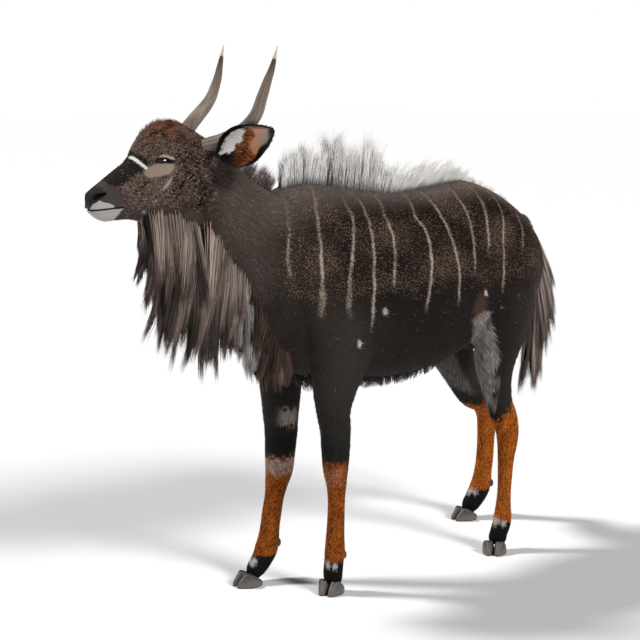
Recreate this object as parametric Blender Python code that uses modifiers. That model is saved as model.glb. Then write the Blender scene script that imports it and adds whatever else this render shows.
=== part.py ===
"""A lowland nyala bull standing still at life size, as a museum shows it.

Metres, +Z up. The animal faces -X with its left side towards -Y. The body is lofted from sections
along the torso, neck, head and legs, fused into one skin, and parted where a person would name
its parts. Long hair is flat tapered locks, each rooted in the node that it grows from.
"""

import math
import random

import bmesh
import bpy
import numpy as np
from mathutils import Vector
from mathutils.bvhtree import BVHTree

GAP = 0.0003
CUT_GAP = 0.0004
VOXEL = 0.006
BODY_TRIANGLES = 3100
HEAD_TRIANGLES = 6050
UP = np.array([0.0, 0.0, 1.0])

# The head's own frame: s runs forward from the poll, l to the animal's left, z up.
HEAD_AT = np.array([-0.631, 0.050, 0.0])
HEAD_YAW = math.radians(19.5)
HEAD_FORWARD = np.array([-math.cos(HEAD_YAW), math.sin(HEAD_YAW), 0.0])
HEAD_LEFT = np.array([-math.sin(HEAD_YAW), -math.cos(HEAD_YAW), 0.0])

# Torso sections: x, top z, bottom z, z of the widest line, half width, roundness.
TORSO = [
    (-0.500, 0.960, 0.760, 0.860, 0.050, 2.0),
    (-0.470, 1.045, 0.680, 0.850, 0.095, 2.0),
    (-0.410, 1.094, 0.620, 0.830, 0.125, 2.1),
    (-0.340, 1.110, 0.590, 0.800, 0.148, 2.2),
    (-0.250, 1.104, 0.570, 0.790, 0.163, 2.2),
    (-0.140, 1.084, 0.555, 0.780, 0.178, 2.2),
    (-0.010, 1.069, 0.546, 0.775, 0.190, 2.2),
    (0.110, 1.075, 0.552, 0.780, 0.192, 2.2),
    (0.210, 1.084, 0.575, 0.800, 0.186, 2.2),
    (0.300, 1.088, 0.610, 0.830, 0.176, 2.2),
    (0.380, 1.066, 0.650, 0.850, 0.163, 2.2),
    (0.450, 1.036, 0.690, 0.860, 0.145, 2.1),
    (0.520, 0.998, 0.735, 0.865, 0.118, 2.0),
    (0.570, 0.962, 0.780, 0.870, 0.086, 2.0),
    (0.600, 0.925, 0.825, 0.875, 0.045, 2.0),
]

# Neck sections along its axis: centre x, y, z, half width, half depth.
NECK = [
    (-0.340, 0.000, 0.880, 0.120, 0.190),
    (-0.430, 0.004, 0.938, 0.108, 0.166),
    (-0.500, 0.018, 1.000, 0.094, 0.125),
    (-0.555, 0.032, 1.062, 0.084, 0.100),
    (-0.605, 0.044, 1.125, 0.076, 0.088),
    (-0.640, 0.055, 1.170, 0.060, 0.070),
]

# Head sections: s, top z, bottom z, z of the widest line, half width, roundness.
HEAD = [
    (-0.085, 1.185, 1.085, 1.140, 0.045, 2.0),
    (-0.050, 1.218, 1.055, 1.145, 0.062, 2.1),
    (0.000, 1.250, 1.040, 1.155, 0.070, 2.2),
    (0.040, 1.271, 1.030, 1.160, 0.073, 2.2),
    (0.080, 1.278, 1.026, 1.165, 0.073, 2.2),
    (0.110, 1.275, 1.025, 1.165, 0.068, 2.2),
    (0.140, 1.254, 1.025, 1.155, 0.059, 2.2),
    (0.165, 1.226, 1.028, 1.135, 0.049, 2.2),
    (0.190, 1.183, 1.032, 1.110, 0.043, 2.2),
    (0.220, 1.158, 1.032, 1.095, 0.038, 2.3),
    (0.250, 1.135, 1.030, 1.083, 0.036, 2.4),
    (0.275, 1.116, 1.042, 1.080, 0.033, 2.4),
    (0.291, 1.104, 1.062, 1.083, 0.022, 2.2),
]

# Leg sections from the body down: centre x, y, z, half width across, half width fore and aft.
LEGS = {
    "leg_front_left": [
        (-0.300, -0.105, 0.800, 0.055, 0.120),
        (-0.275, -0.118, 0.680, 0.058, 0.100),
        (-0.287, -0.113, 0.590, 0.055, 0.074),
        (-0.296, -0.105, 0.506, 0.047, 0.052),
        (-0.292, -0.105, 0.452, 0.044, 0.049),
        (-0.290, -0.104, 0.397, 0.040, 0.045),
        (-0.289, -0.103, 0.343, 0.035, 0.039),
        (-0.285, -0.102, 0.300, 0.028, 0.031),
        (-0.284, -0.101, 0.250, 0.024, 0.0265),
        (-0.286, -0.100, 0.180, 0.025, 0.0275),
        (-0.288, -0.100, 0.137, 0.027, 0.030),
        (-0.289, -0.100, 0.110, 0.028, 0.032),
        (-0.292, -0.100, 0.088, 0.027, 0.030),
        (-0.293, -0.098, 0.062, 0.028, 0.029),
        (-0.291, -0.095, 0.038, 0.028, 0.026),
        (-0.287, -0.092, 0.008, 0.027, 0.024),
    ],
    "leg_front_right": [
        (-0.300, 0.105, 0.800, 0.055, 0.120),
        (-0.275, 0.118, 0.680, 0.058, 0.100),
        (-0.292, 0.110, 0.590, 0.056, 0.078),
        (-0.301, 0.102, 0.485, 0.051, 0.061),
        (-0.302, 0.100, 0.415, 0.046, 0.053),
        (-0.306, 0.100, 0.360, 0.042, 0.048),
        (-0.309, 0.101, 0.310, 0.038, 0.043),
        (-0.316, 0.103, 0.275, 0.032, 0.037),
        (-0.323, 0.105, 0.237, 0.027, 0.031),
        (-0.331, 0.107, 0.193, 0.027, 0.031),
        (-0.337, 0.109, 0.150, 0.027, 0.031),
        (-0.341, 0.111, 0.115, 0.0285, 0.035),
        (-0.349, 0.112, 0.088, 0.030, 0.037),
        (-0.364, 0.112, 0.064, 0.029, 0.033),
        (-0.388, 0.111, 0.040, 0.028, 0.029),
        (-0.404, 0.110, 0.008, 0.027, 0.026),
    ],
    "leg_hind_left": [
        (0.400, -0.085, 0.880, 0.075, 0.130),
        (0.380, -0.115, 0.760, 0.070, 0.125),
        (0.350, -0.128, 0.660, 0.062, 0.105),
        (0.335, -0.127, 0.580, 0.055, 0.082),
        (0.340, -0.122, 0.520, 0.048, 0.062),
        (0.352, -0.120, 0.467, 0.042, 0.050),
        (0.366, -0.120, 0.427, 0.038, 0.047),
        (0.382, -0.124, 0.387, 0.036, 0.046),
        (0.389, -0.128, 0.348, 0.034, 0.040),
        (0.387, -0.130, 0.310, 0.030, 0.034),
        (0.379, -0.133, 0.273, 0.0255, 0.029),
        (0.373, -0.136, 0.236, 0.0235, 0.0255),
        (0.363, -0.142, 0.175, 0.0215, 0.0235),
        (0.356, -0.145, 0.131, 0.024, 0.026),
        (0.352, -0.147, 0.103, 0.027, 0.030),
        (0.346, -0.148, 0.080, 0.028, 0.030),
        (0.335, -0.149, 0.060, 0.028, 0.028),
        (0.326, -0.149, 0.038, 0.028, 0.027),
        (0.322, -0.147, 0.008, 0.027, 0.024),
    ],
    "leg_hind_right": [
        (0.420, 0.085, 0.880, 0.075, 0.130),
        (0.400, 0.115, 0.760, 0.070, 0.125),
        (0.380, 0.130, 0.670, 0.062, 0.105),
        (0.405, 0.128, 0.580, 0.055, 0.083),
        (0.456, 0.124, 0.500, 0.050, 0.070),
        (0.515, 0.121, 0.432, 0.044, 0.070),
        (0.566, 0.121, 0.385, 0.037, 0.053),
        (0.586, 0.123, 0.340, 0.033, 0.040),
        (0.590, 0.126, 0.300, 0.030, 0.034),
        (0.592, 0.130, 0.250, 0.028, 0.031),
        (0.594, 0.135, 0.192, 0.028, 0.031),
        (0.593, 0.140, 0.150, 0.028, 0.032),
        (0.591, 0.144, 0.115, 0.030, 0.036),
        (0.583, 0.147, 0.088, 0.031, 0.038),
        (0.566, 0.149, 0.064, 0.030, 0.034),
        (0.546, 0.152, 0.040, 0.028, 0.029),
        (0.536, 0.154, 0.008, 0.027, 0.026),
    ],
}

# Muscles that round the joints of the lofts: centre, radii along x, y and z, mirrored across y.
MUSCLES = [
    ((-0.335, 0.100, 0.850), (0.105, 0.058, 0.165)),
    ((-0.290, 0.112, 0.680), (0.105, 0.055, 0.085)),
    ((0.415, 0.092, 0.830), (0.150, 0.078, 0.150)),
    ((0.370, 0.112, 0.700), (0.120, 0.066, 0.120)),
]

# Each leg's boxed region: (x low, x high) at the foot, at the inner top and at the outer top.
FRONT_REGION = ((-0.460, -0.165), (-0.460, -0.165), (-0.460, -0.165), 0.575, 0.740, 0.040)
LEG_REGIONS = {
    "leg_front_left": FRONT_REGION,
    "leg_front_right": FRONT_REGION,
    "leg_hind_left": ((0.220, 0.550), (0.270, 0.600), (0.220, 0.620), 0.600, 0.800, 0.030),
    "leg_hind_right": ((0.430, 0.700), (0.300, 0.650), (0.250, 0.680), 0.600, 0.800, 0.030),
}
LEG_REGION_OUTER_Y = 0.26
NECK_BASE_X = -0.470
LEG_END_Z = 0.012

# Where each foot stands: toe-pair centre x, y and the way that it points, in degrees from -X.
FEET = {
    "front_left": (-0.302, -0.097, -22.0),
    "front_right": (-0.421, 0.110, 12.0),
    "hind_left": (0.306, -0.156, -33.0),
    "hind_right": (0.520, 0.155, 13.0),
}
CLAW_LENGTH = 0.076
CLAW_WIDTH = 0.032
CLAW_HEIGHT = 0.038
CLAW_SPREAD = 0.018
CLEFT_HALF_WIDTH = 0.0035
DEWCLAW_RADII = (0.009, 0.008, 0.012)

EYE_RADIUS = 0.0165
EYE_AT = (0.107, 0.055, 1.183)
LID_THICKNESS = 0.0032
LID_HALF_LENGTH = 0.0175
LID_HALF_HEIGHT = 0.0078

# Horn axis from the skull to the tip, one row each for the left and the right: s, l, z.
HORNS = {
    "horn_left": [
        (0.010, 0.030, 1.205),
        (-0.012, 0.040, 1.216),
        (-0.042, 0.054, 1.226),
        (-0.070, 0.074, 1.241),
        (-0.094, 0.098, 1.261),
        (-0.111, 0.128, 1.295),
        (-0.119, 0.146, 1.336),
        (-0.130, 0.154, 1.375),
        (-0.142, 0.158, 1.411),
        (-0.155, 0.161, 1.463),
    ],
    "horn_right": [
        (0.025, -0.030, 1.225),
        (0.008, -0.050, 1.250),
        (-0.010, -0.072, 1.264),
        (-0.040, -0.098, 1.286),
        (-0.069, -0.122, 1.308),
        (-0.093, -0.145, 1.330),
        (-0.106, -0.155, 1.352),
        (-0.117, -0.158, 1.381),
        (-0.124, -0.159, 1.412),
        (-0.136, -0.161, 1.468),
    ],
}
HORN_BASE_RADIUS = 0.0205
HORN_TIP_RADIUS = 0.0012

# Each ear: base and tip as s, l, z, and the way that its cup opens. The right one is laid back.
EARS = {
    "ear_left": ((-0.036, 0.060, 1.195), (-0.143, 0.164, 1.252), (0.40, 0.90, 0.10)),
    "ear_right": ((-0.040, -0.058, 1.185), (-0.185, -0.118, 1.190), (0.15, -0.90, -0.25)),
}
EAR_THICKNESS = 0.0035

# Long hair: root and tip along each row of locks, and the row's half breadth.
CREST = [
    ((-0.392, 0.0, 1.090), (-0.386, 0.0, 1.190), 0.011),
    ((-0.345, 0.0, 1.100), (-0.340, 0.0, 1.218), 0.014),
    ((-0.295, 0.0, 1.102), (-0.280, 0.0, 1.236), 0.016),
    ((-0.245, 0.0, 1.098), (-0.225, 0.0, 1.252), 0.017),
    ((-0.195, 0.0, 1.090), (-0.170, 0.0, 1.268), 0.017),
    ((-0.145, 0.0, 1.082), (-0.110, 0.0, 1.242), 0.017),
    ((-0.095, 0.0, 1.074), (-0.050, 0.0, 1.246), 0.016),
    ((-0.045, 0.0, 1.068), (0.005, 0.0, 1.190), 0.015),
    ((0.010, 0.0, 1.064), (0.070, 0.0, 1.165), 0.014),
    ((0.070, 0.0, 1.066), (0.135, 0.0, 1.164), 0.014),
    ((0.130, 0.0, 1.070), (0.195, 0.0, 1.170), 0.014),
    ((0.210, 0.0, 1.080), (0.275, 0.0, 1.172), 0.014),
    ((0.290, 0.0, 1.084), (0.355, 0.0, 1.160), 0.013),
    ((0.370, 0.0, 1.064), (0.435, 0.0, 1.126), 0.012),
    ((0.440, 0.0, 1.036), (0.510, 0.0, 1.078), 0.010),
    ((0.510, 0.0, 0.998), (0.575, 0.0, 1.018), 0.008),
]
NAPE = [
    ((-0.550, 0.030, 1.150), (-0.512, 0.024, 1.190), 0.012),
    ((-0.527, 0.024, 1.132), (-0.490, 0.020, 1.184), 0.014),
    ((-0.502, 0.018, 1.116), (-0.475, 0.014, 1.176), 0.014),
    ((-0.455, 0.008, 1.095), (-0.436, 0.006, 1.168), 0.012),
    ((-0.425, 0.004, 1.092), (-0.408, 0.004, 1.130), 0.010),
]
RUFF = [
    ((-0.777, 0.102, 1.030), (-0.778, 0.100, 0.900), 0.022),
    ((-0.762, 0.097, 1.030), (-0.762, 0.096, 0.825), 0.034),
    ((-0.735, 0.088, 1.030), (-0.737, 0.090, 0.760), 0.042),
    ((-0.706, 0.077, 1.030), (-0.712, 0.080, 0.695), 0.048),
    ((-0.680, 0.067, 1.020), (-0.687, 0.070, 0.645), 0.052),
    ((-0.645, 0.052, 0.995), (-0.645, 0.052, 0.608), 0.054),
    ((-0.618, 0.040, 0.945), (-0.615, 0.038, 0.580), 0.056),
    ((-0.588, 0.026, 0.895), (-0.583, 0.026, 0.585), 0.056),
    ((-0.556, 0.012, 0.840), (-0.550, 0.012, 0.620), 0.054),
    ((-0.525, 0.005, 0.785), (-0.520, 0.005, 0.640), 0.046),
    ((-0.490, 0.000, 0.725), (-0.480, 0.000, 0.575), 0.036),
    ((-0.440, 0.000, 0.660), (-0.420, 0.000, 0.545), 0.028),
    ((-0.390, 0.000, 0.612), (-0.375, 0.000, 0.545), 0.022),
]
BELLY = [
    ((-0.330, 0.0, 0.590), (-0.315, 0.0, 0.542), 0.022),
    ((-0.230, 0.0, 0.568), (-0.210, 0.0, 0.520), 0.030),
    ((-0.120, 0.0, 0.555), (-0.100, 0.0, 0.520), 0.035),
    ((0.000, 0.0, 0.548), (0.020, 0.0, 0.515), 0.035),
    ((0.110, 0.0, 0.555), (0.130, 0.0, 0.523), 0.030),
    ((0.190, 0.0, 0.572), (0.205, 0.0, 0.548), 0.020),
]

# Tail: the fleshy dock's axis and radius, then the hair's outline below and behind it.
DOCK = [
    (0.560, 0.955, 0.020),
    (0.600, 0.950, 0.019),
    (0.635, 0.905, 0.017),
    (0.655, 0.840, 0.015),
    (0.662, 0.770, 0.012),
    (0.664, 0.700, 0.009),
    (0.662, 0.640, 0.006),
]
TAIL_HAIR_X = 0.700
TAIL_HAIR_HALF_BREADTH = 0.050
TAIL_LOW_Z = 0.405

COLOURS = {
    "coat_dark": ((0.030, 0.026, 0.024), 0.85),
    "coat_head": ((0.060, 0.040, 0.028), 0.85),
    "coat_leg": ((0.230, 0.090, 0.028), 0.85),
    "hair_tail": ((0.050, 0.042, 0.038), 0.90),
    "horn": ((0.190, 0.160, 0.135), 0.55),
    "hoof": ((0.110, 0.095, 0.085), 0.50),
    "eye": ((0.012, 0.008, 0.006), 0.08),
    "ear": ((0.260, 0.130, 0.075), 0.80),
}


def clear_scene():
    for obj in list(bpy.data.objects):
        bpy.data.objects.remove(obj, do_unlink=True)


def make_collection(name):
    collection = bpy.data.collections.new(name)
    bpy.context.scene.collection.children.link(collection)
    return collection


def make_material(name):
    colour, roughness = COLOURS[name]
    material = bpy.data.materials.get(name) or bpy.data.materials.new(name)
    material.use_nodes = True
    shader = material.node_tree.nodes["Principled BSDF"]
    shader.inputs["Base Color"].default_value = (*colour, 1.0)
    shader.inputs["Roughness"].default_value = roughness
    shader.inputs["Metallic"].default_value = 0.0
    return material


def mesh_object(name, points, faces, collection):
    mesh = bpy.data.meshes.new(name)
    mesh.from_pydata([tuple(p) for p in points], [], faces)
    mesh.update()
    obj = bpy.data.objects.new(name, mesh)
    collection.objects.link(obj)
    return obj


def helper(name, points, faces):
    """A cutter or a piece still to be joined, which is no part of the finished animal."""
    obj = mesh_object(name, points, faces, HELPERS)
    obj.hide_render = True
    obj.display_type = "WIRE"
    return obj


def remove(*objects):
    for obj in objects:
        bpy.data.objects.remove(obj, do_unlink=True)


def apply_modifiers(obj):
    graph = bpy.context.evaluated_depsgraph_get()
    mesh = bpy.data.meshes.new_from_object(obj.evaluated_get(graph))
    obj.modifiers.clear()
    old = obj.data
    obj.data = mesh
    bpy.data.meshes.remove(old)


def duplicate(obj, name):
    copy = bpy.data.objects.new(name, obj.data.copy())
    HELPERS.objects.link(copy)
    copy.hide_render = True
    return copy


def boolean(obj, other, operation, solver="EXACT"):
    modifier = obj.modifiers.new(operation.lower(), "BOOLEAN")
    modifier.operation = operation
    modifier.solver = solver
    modifier.object = other
    apply_modifiers(obj)


def union_all(obj, pieces, solver="EXACT"):
    """Joins all the pieces to the object in one Boolean, and removes them."""
    group = make_collection("joined_pieces")
    for piece in pieces:
        group.objects.link(piece)
    modifier = obj.modifiers.new("union", "BOOLEAN")
    modifier.operation = "UNION"
    modifier.solver = solver
    modifier.operand_type = "COLLECTION"
    modifier.collection = group
    apply_modifiers(obj)
    remove(*pieces)
    bpy.data.collections.remove(group)


def grown(obj, amount):
    """A copy whose surface stands out all round, to cut a neighbour with a little room."""
    copy = duplicate(obj, obj.name + "_grown")
    displace = copy.modifiers.new("grow", "DISPLACE")
    displace.mid_level = 0.0
    displace.strength = amount
    apply_modifiers(copy)
    return copy


def keep_largest(obj):
    """Keeps the largest closed surface, which fills sealed hollows and drops loose scraps."""
    mesh = bmesh.new()
    mesh.from_mesh(obj.data)
    unseen = set(mesh.faces)
    shells = []
    while unseen:
        stack = [unseen.pop()]
        shell = list(stack)
        while stack:
            for edge in stack.pop().edges:
                if len(edge.link_faces) != 2:
                    continue
                for face in edge.link_faces:
                    if face in unseen:
                        unseen.discard(face)
                        stack.append(face)
                        shell.append(face)
        shells.append(shell)
    shells.sort(key=lambda shell: sum(face.calc_area() for face in shell))
    for shell in shells[:-1]:
        bmesh.ops.delete(mesh, geom=shell, context="FACES")
    bmesh.ops.triangulate(mesh, faces=mesh.faces[:])
    mesh.to_mesh(obj.data)
    mesh.free()


def along(stations, rows):
    """A smooth curve through the stations, read at evenly spaced steps of the station count."""
    table = np.array(stations, float)
    ends = np.vstack([2 * table[0] - table[1], table, 2 * table[-1] - table[-2]])
    result = []
    for place in np.linspace(0.0, len(table) - 1.0, rows):
        i = min(int(place), len(table) - 2)
        t = place - i
        a, b, c, d = ends[i : i + 4]
        result.append(
            0.5
            * (
                2 * b
                + (c - a) * t
                + (2 * a - 5 * b + 4 * c - d) * t * t
                + (3 * b - a - 3 * c + d) * t**3
            )
        )
    return np.array(result)


def section(half_width, top, bottom, power, count):
    """Offsets across and up of a rounded section, from a superellipse."""
    angle = np.linspace(0.0, 2 * math.pi, count, endpoint=False)
    cos, sin = np.cos(angle), np.sin(angle)
    across = half_width * np.sign(cos) * np.abs(cos) ** (2 / power)
    rise = np.where(sin > 0, top, bottom) * np.sign(sin) * np.abs(sin) ** (2 / power)
    return across, rise


def loft(rings):
    """Points and faces of a closed skin over rings of equal count, with capped ends."""
    count = len(rings[0])
    points = np.concatenate(rings)
    faces = []
    for row in range(len(rings) - 1):
        for k in range(count):
            a = row * count + k
            b = row * count + (k + 1) % count
            faces.append((a, b, b + count, a + count))
    faces.append(tuple(reversed(range(count))))
    faces.append(tuple(range(len(points) - count, len(points))))
    return points, faces


def facing_out(obj):
    mesh = bmesh.new()
    mesh.from_mesh(obj.data)
    bmesh.ops.recalc_face_normals(mesh, faces=mesh.faces[:])
    mesh.to_mesh(obj.data)
    mesh.free()
    return obj


def torso_rings(rows=44, count=36):
    rings = []
    for x, top, bottom, wide, half, power in along(TORSO, rows):
        across, rise = section(half, top - wide, wide - bottom, power, count)
        rings.append(np.stack([np.full(count, x), across, wide + rise], -1))
    return rings


def head_point(s, left, z):
    return HEAD_AT + HEAD_FORWARD * s + HEAD_LEFT * left + UP * z


def head_rings(rows=40, count=36):
    rings = []
    for s, top, bottom, wide, half, power in along(HEAD, rows):
        across, rise = section(half, top - wide, wide - bottom, power, count)
        rings.append(np.array([head_point(s, a, wide + b) for a, b in zip(across, rise)]))
    return rings


def tube_rings(stations, rows, count):
    """Oval rings square to a curved axis, the first radius across the body and the second along it."""
    table = along(stations, rows)
    centre = table[:, :3]
    tangent = np.gradient(centre, axis=0)
    tangent /= np.linalg.norm(tangent, axis=1)[:, None]
    rings = []
    for middle, way, half_across, half_deep in zip(centre, tangent, table[:, 3], table[:, 4]):
        across = np.array([0.0, 1.0, 0.0]) - way * way[1]
        across /= np.linalg.norm(across)
        deep = np.cross(way, across)
        a, b = section(half_across, half_deep, half_deep, 2.0, count)
        rings.append(middle + across * a[:, None] + deep * b[:, None])
    return rings


def ellipsoid(name, centre, radii, segments=16, rings=10):
    mesh = bmesh.new()
    bmesh.ops.create_uvsphere(mesh, u_segments=segments, v_segments=rings, radius=1.0)
    for vertex in mesh.verts:
        vertex.co = Vector([c + v * r for c, v, r in zip(centre, vertex.co, radii)])
    data = bpy.data.meshes.new(name)
    mesh.to_mesh(data)
    mesh.free()
    obj = bpy.data.objects.new(name, data)
    HELPERS.objects.link(obj)
    obj.hide_render = True
    return obj


def join_loose(name, pieces):
    """All the pieces' faces in one mesh, not yet fused."""
    points, faces = [], []
    for piece in pieces:
        start = len(points)
        points += [tuple(v.co) for v in piece.data.vertices]
        faces += [tuple(start + i for i in p.vertices) for p in piece.data.polygons]
    obj = helper(name, points, faces)
    remove(*pieces)
    return obj


def relax(obj, rounds, strength):
    """Evens the surface without shrinking it, as strongly at each point as strength says."""
    data = obj.data
    points = np.empty(len(data.vertices) * 3)
    data.vertices.foreach_get("co", points)
    points = points.reshape(-1, 3)
    edges = np.empty(len(data.edges) * 2, int)
    data.edges.foreach_get("vertices", edges)
    start, end = edges.reshape(-1, 2).T
    share = np.bincount(start, minlength=len(points)) + np.bincount(end, minlength=len(points))
    weight = strength(points)[:, None]
    for turn in range(rounds * 2):
        total = np.zeros_like(points)
        for axis in range(3):
            total[:, axis] += np.bincount(start, points[end, axis], len(points))
            total[:, axis] += np.bincount(end, points[start, axis], len(points))
        step = 0.50 if turn % 2 == 0 else -0.51
        points = points + step * weight * (total / share[:, None] - points)
    data.vertices.foreach_set("co", points.ravel())
    data.update()


def body_strength(points):
    """Full where the lofts meet the trunk, little on the lower legs and the head."""
    strength = np.clip((points[:, 2] - 0.40) / 0.25, 0.12, 1.0)
    ahead = (points - HEAD_AT) @ HEAD_FORWARD
    return np.minimum(strength, np.clip(1.0 - (ahead + 0.06) / 0.08, 0.15, 1.0))


def fused_body():
    pieces = [
        helper("torso_loft", *loft(torso_rings())),
        helper("neck_loft", *loft(tube_rings(NECK, 24, 32))),
        helper("head_loft", *loft(head_rings())),
    ]
    for name, stations in LEGS.items():
        pieces.append(helper(name + "_loft", *loft(tube_rings(stations, 60, 24))))
    for (x, y, z), radii in MUSCLES:
        for side in (-1, 1):
            pieces.append(ellipsoid("muscle", (x, side * y, z), radii))
    for side in (-1, 1):
        cheek = tuple(head_point(0.035, side * 0.042, 1.125))
        pieces.append(ellipsoid("cheek", cheek, (0.055, 0.034, 0.065)))
    throat = tuple(head_point(0.020, 0.0, 1.045))
    pieces.append(ellipsoid("throat", throat, (0.055, 0.045, 0.058)))
    body = join_loose("body", [facing_out(piece) for piece in pieces])
    remesh = body.modifiers.new("fuse", "REMESH")
    remesh.mode = "VOXEL"
    remesh.voxel_size = VOXEL
    apply_modifiers(body)
    relax(body, 22, body_strength)
    return body


def thinned(obj, name, triangles):
    copy = duplicate(obj, name)
    count = sum(len(p.vertices) - 2 for p in copy.data.polygons)
    decimate = copy.modifiers.new("thin", "DECIMATE")
    decimate.ratio = triangles / count
    decimate.use_collapse_triangulate = True
    apply_modifiers(copy)
    return copy


def hull(name, points):
    mesh = bmesh.new()
    for point in points:
        mesh.verts.new(point)
    bmesh.ops.convex_hull(mesh, input=mesh.verts[:])
    bmesh.ops.recalc_face_normals(mesh, faces=mesh.faces[:])
    data = bpy.data.meshes.new(name)
    mesh.to_mesh(data)
    mesh.free()
    obj = bpy.data.objects.new(name, data)
    HELPERS.objects.link(obj)
    obj.hide_render = True
    return obj


def swollen(obj, amount):
    """Moves each face of a convex region out by the amount."""
    mesh = bmesh.new()
    mesh.from_mesh(obj.data)
    mesh.normal_update()
    moves = [v.normal * (amount * v.calc_shell_factor()) for v in mesh.verts]
    for vertex, move in zip(mesh.verts, moves):
        vertex.co += move
    mesh.to_mesh(obj.data)
    mesh.free()
    return obj


def leg_region(name, room=0.0):
    foot, inner, outer, inner_z, outer_z, inner_y = LEG_REGIONS[name]
    side = -1 if name.endswith("left") else 1
    near, far = side * inner_y, side * LEG_REGION_OUTER_Y
    points = []
    for x in foot:
        points += [(x, near, -0.01), (x, far, -0.01)]
    for x in inner:
        points.append((x, near, inner_z))
    for x in outer:
        points.append((x, far, outer_z))
    region = hull(name + "_region", points)
    return swollen(region, room) if room else region


def head_region(room=0.0):
    """Behind the jaw and ears down to the throat, then straight down through the fringe."""
    outline = [(-0.120, 1.260), (-0.085, 1.195), (0.030, 1.034), (0.030, 0.450), (0.500, 0.450)]
    outline += [(0.500, 1.600), (-0.120, 1.600)]
    left = [head_point(s - room, 0.300, z) for s, z in outline]
    right = [head_point(s - room, -0.300, z) for s, z in outline]
    return facing_out(helper("head_region", *loft([left, right])))


def slab(name, x_low, x_high, z_low=-0.1):
    """A block across the whole animal between two x planes, open above z_low."""
    points = [(x, y, z) for x in (x_low, x_high) for y in (-0.5, 0.5) for z in (z_low, 1.8)]
    return hull(name, points)


def surface_of(obj):
    graph = bpy.context.evaluated_depsgraph_get()
    return BVHTree.FromObject(obj, graph)


def lock(root, bend, tip, breadth, thickness, wide, steps=4):
    """A flat lock of hair that tapers from its root along a curve to its tip."""
    root, bend, tip = (np.array(p, float) for p in (root, bend, tip))
    rings = []
    for t in np.linspace(0.0, 1.0, steps + 1)[:-1]:
        middle = (1 - t) ** 2 * root + 2 * t * (1 - t) * bend + t * t * tip
        way = 2 * (1 - t) * (bend - root) + 2 * t * (tip - bend)
        way /= np.linalg.norm(way)
        across = np.array(wide, float) - way * (np.array(wide, float) @ way)
        across /= np.linalg.norm(across)
        flat = np.cross(way, across)
        half = 0.5 * breadth * (0.70 + 0.75 * t) * (1 - t * t) ** 0.8 + 0.0008
        deep = 0.5 * thickness * (1 - 0.75 * t)
        rings.append([middle + across * half, middle + flat * deep])
        rings[-1] += [middle - across * half, middle - flat * deep]
    points = [p for ring in rings for p in ring] + [tip]
    faces = [(3, 2, 1), (3, 1, 0)]
    for row in range(steps - 1):
        for k in range(4):
            a, b = row * 4 + k, row * 4 + (k + 1) % 4
            faces += [(a, b, b + 4), (a, b + 4, a + 4)]
    last = (steps - 1) * 4
    for k in range(4):
        faces.append((last + k, last + (k + 1) % 4, len(points) - 1))
    return facing_out(helper("lock", points, faces))


def row_at(stations, place):
    """Root, tip and half breadth at a share of the way along a row of hair."""
    flat = [(*root, *tip, half) for root, tip, half in stations]
    at = np.clip(place, 0.0, 1.0) * (len(flat) - 1)
    i = min(int(at), len(flat) - 2)
    mixed = np.array(flat[i]) * (1 - at + i) + np.array(flat[i + 1]) * (at - i)
    return mixed[:3], mixed[3:6], mixed[6]


def upright_locks(stations, count, breadth, thickness, surface, draw):
    """Locks that stand up along the back in two staggered files and lean back at their tips."""
    locks = []
    for number in range(count):
        place = (number + 0.5) / count
        side = 1 if number % 2 else -1
        root, tip, half = row_at(stations, place)
        root[1] += side * half * 0.45
        hit = surface.ray_cast(Vector((root[0], root[1], 1.5)), Vector((0, 0, -1)))[0]
        root[2] = hit.z - 0.016
        reach = tip - root
        tip = root + reach * draw.uniform(0.90, 1.0)
        tip[1] += side * draw.uniform(-0.4, 0.9) * half
        bend = root + reach * 0.5 - np.array([0.10 * reach[2], 0.0, 0.0])
        wide = (1.0, draw.uniform(-0.35, 0.35), 0.0)
        size = breadth * draw.uniform(0.85, 1.15)
        locks.append(lock(root, bend, tip, size, thickness, wide))
    return locks


def hanging_locks(stations, places, sides, breadth, surface, draw, across):
    """Locks that grow from the underside and hang, shorter towards the flanks of the fringe."""
    locks = []
    for place in places:
        for side in sides:
            root, tip, half = row_at(stations, place + draw.uniform(-0.02, 0.02))
            offset = np.array(across) * side
            near = surface.find_nearest(Vector(root + offset * half * 1.1 + UP * 0.02 * abs(side)))
            start = np.array(near[0]) - np.array(near[1]) * 0.010
            end = tip + offset * half * 0.75
            end += UP * np.linalg.norm(tip - root) * (0.22 * abs(side) + draw.uniform(0.0, 0.10))
            length = np.linalg.norm(end - start)
            out = np.array(near[1]) * 0.18 * length
            bend = start * 0.55 + end * 0.45 + out
            wide = np.cross(np.array(across), (0, 0, 1)) + np.array(across) * draw.uniform(-0.6, 0.6)
            size = min(breadth, 0.6 * length) * draw.uniform(0.85, 1.15)
            locks.append(lock(start, bend, end, size, 0.011, wide))
    return locks


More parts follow.
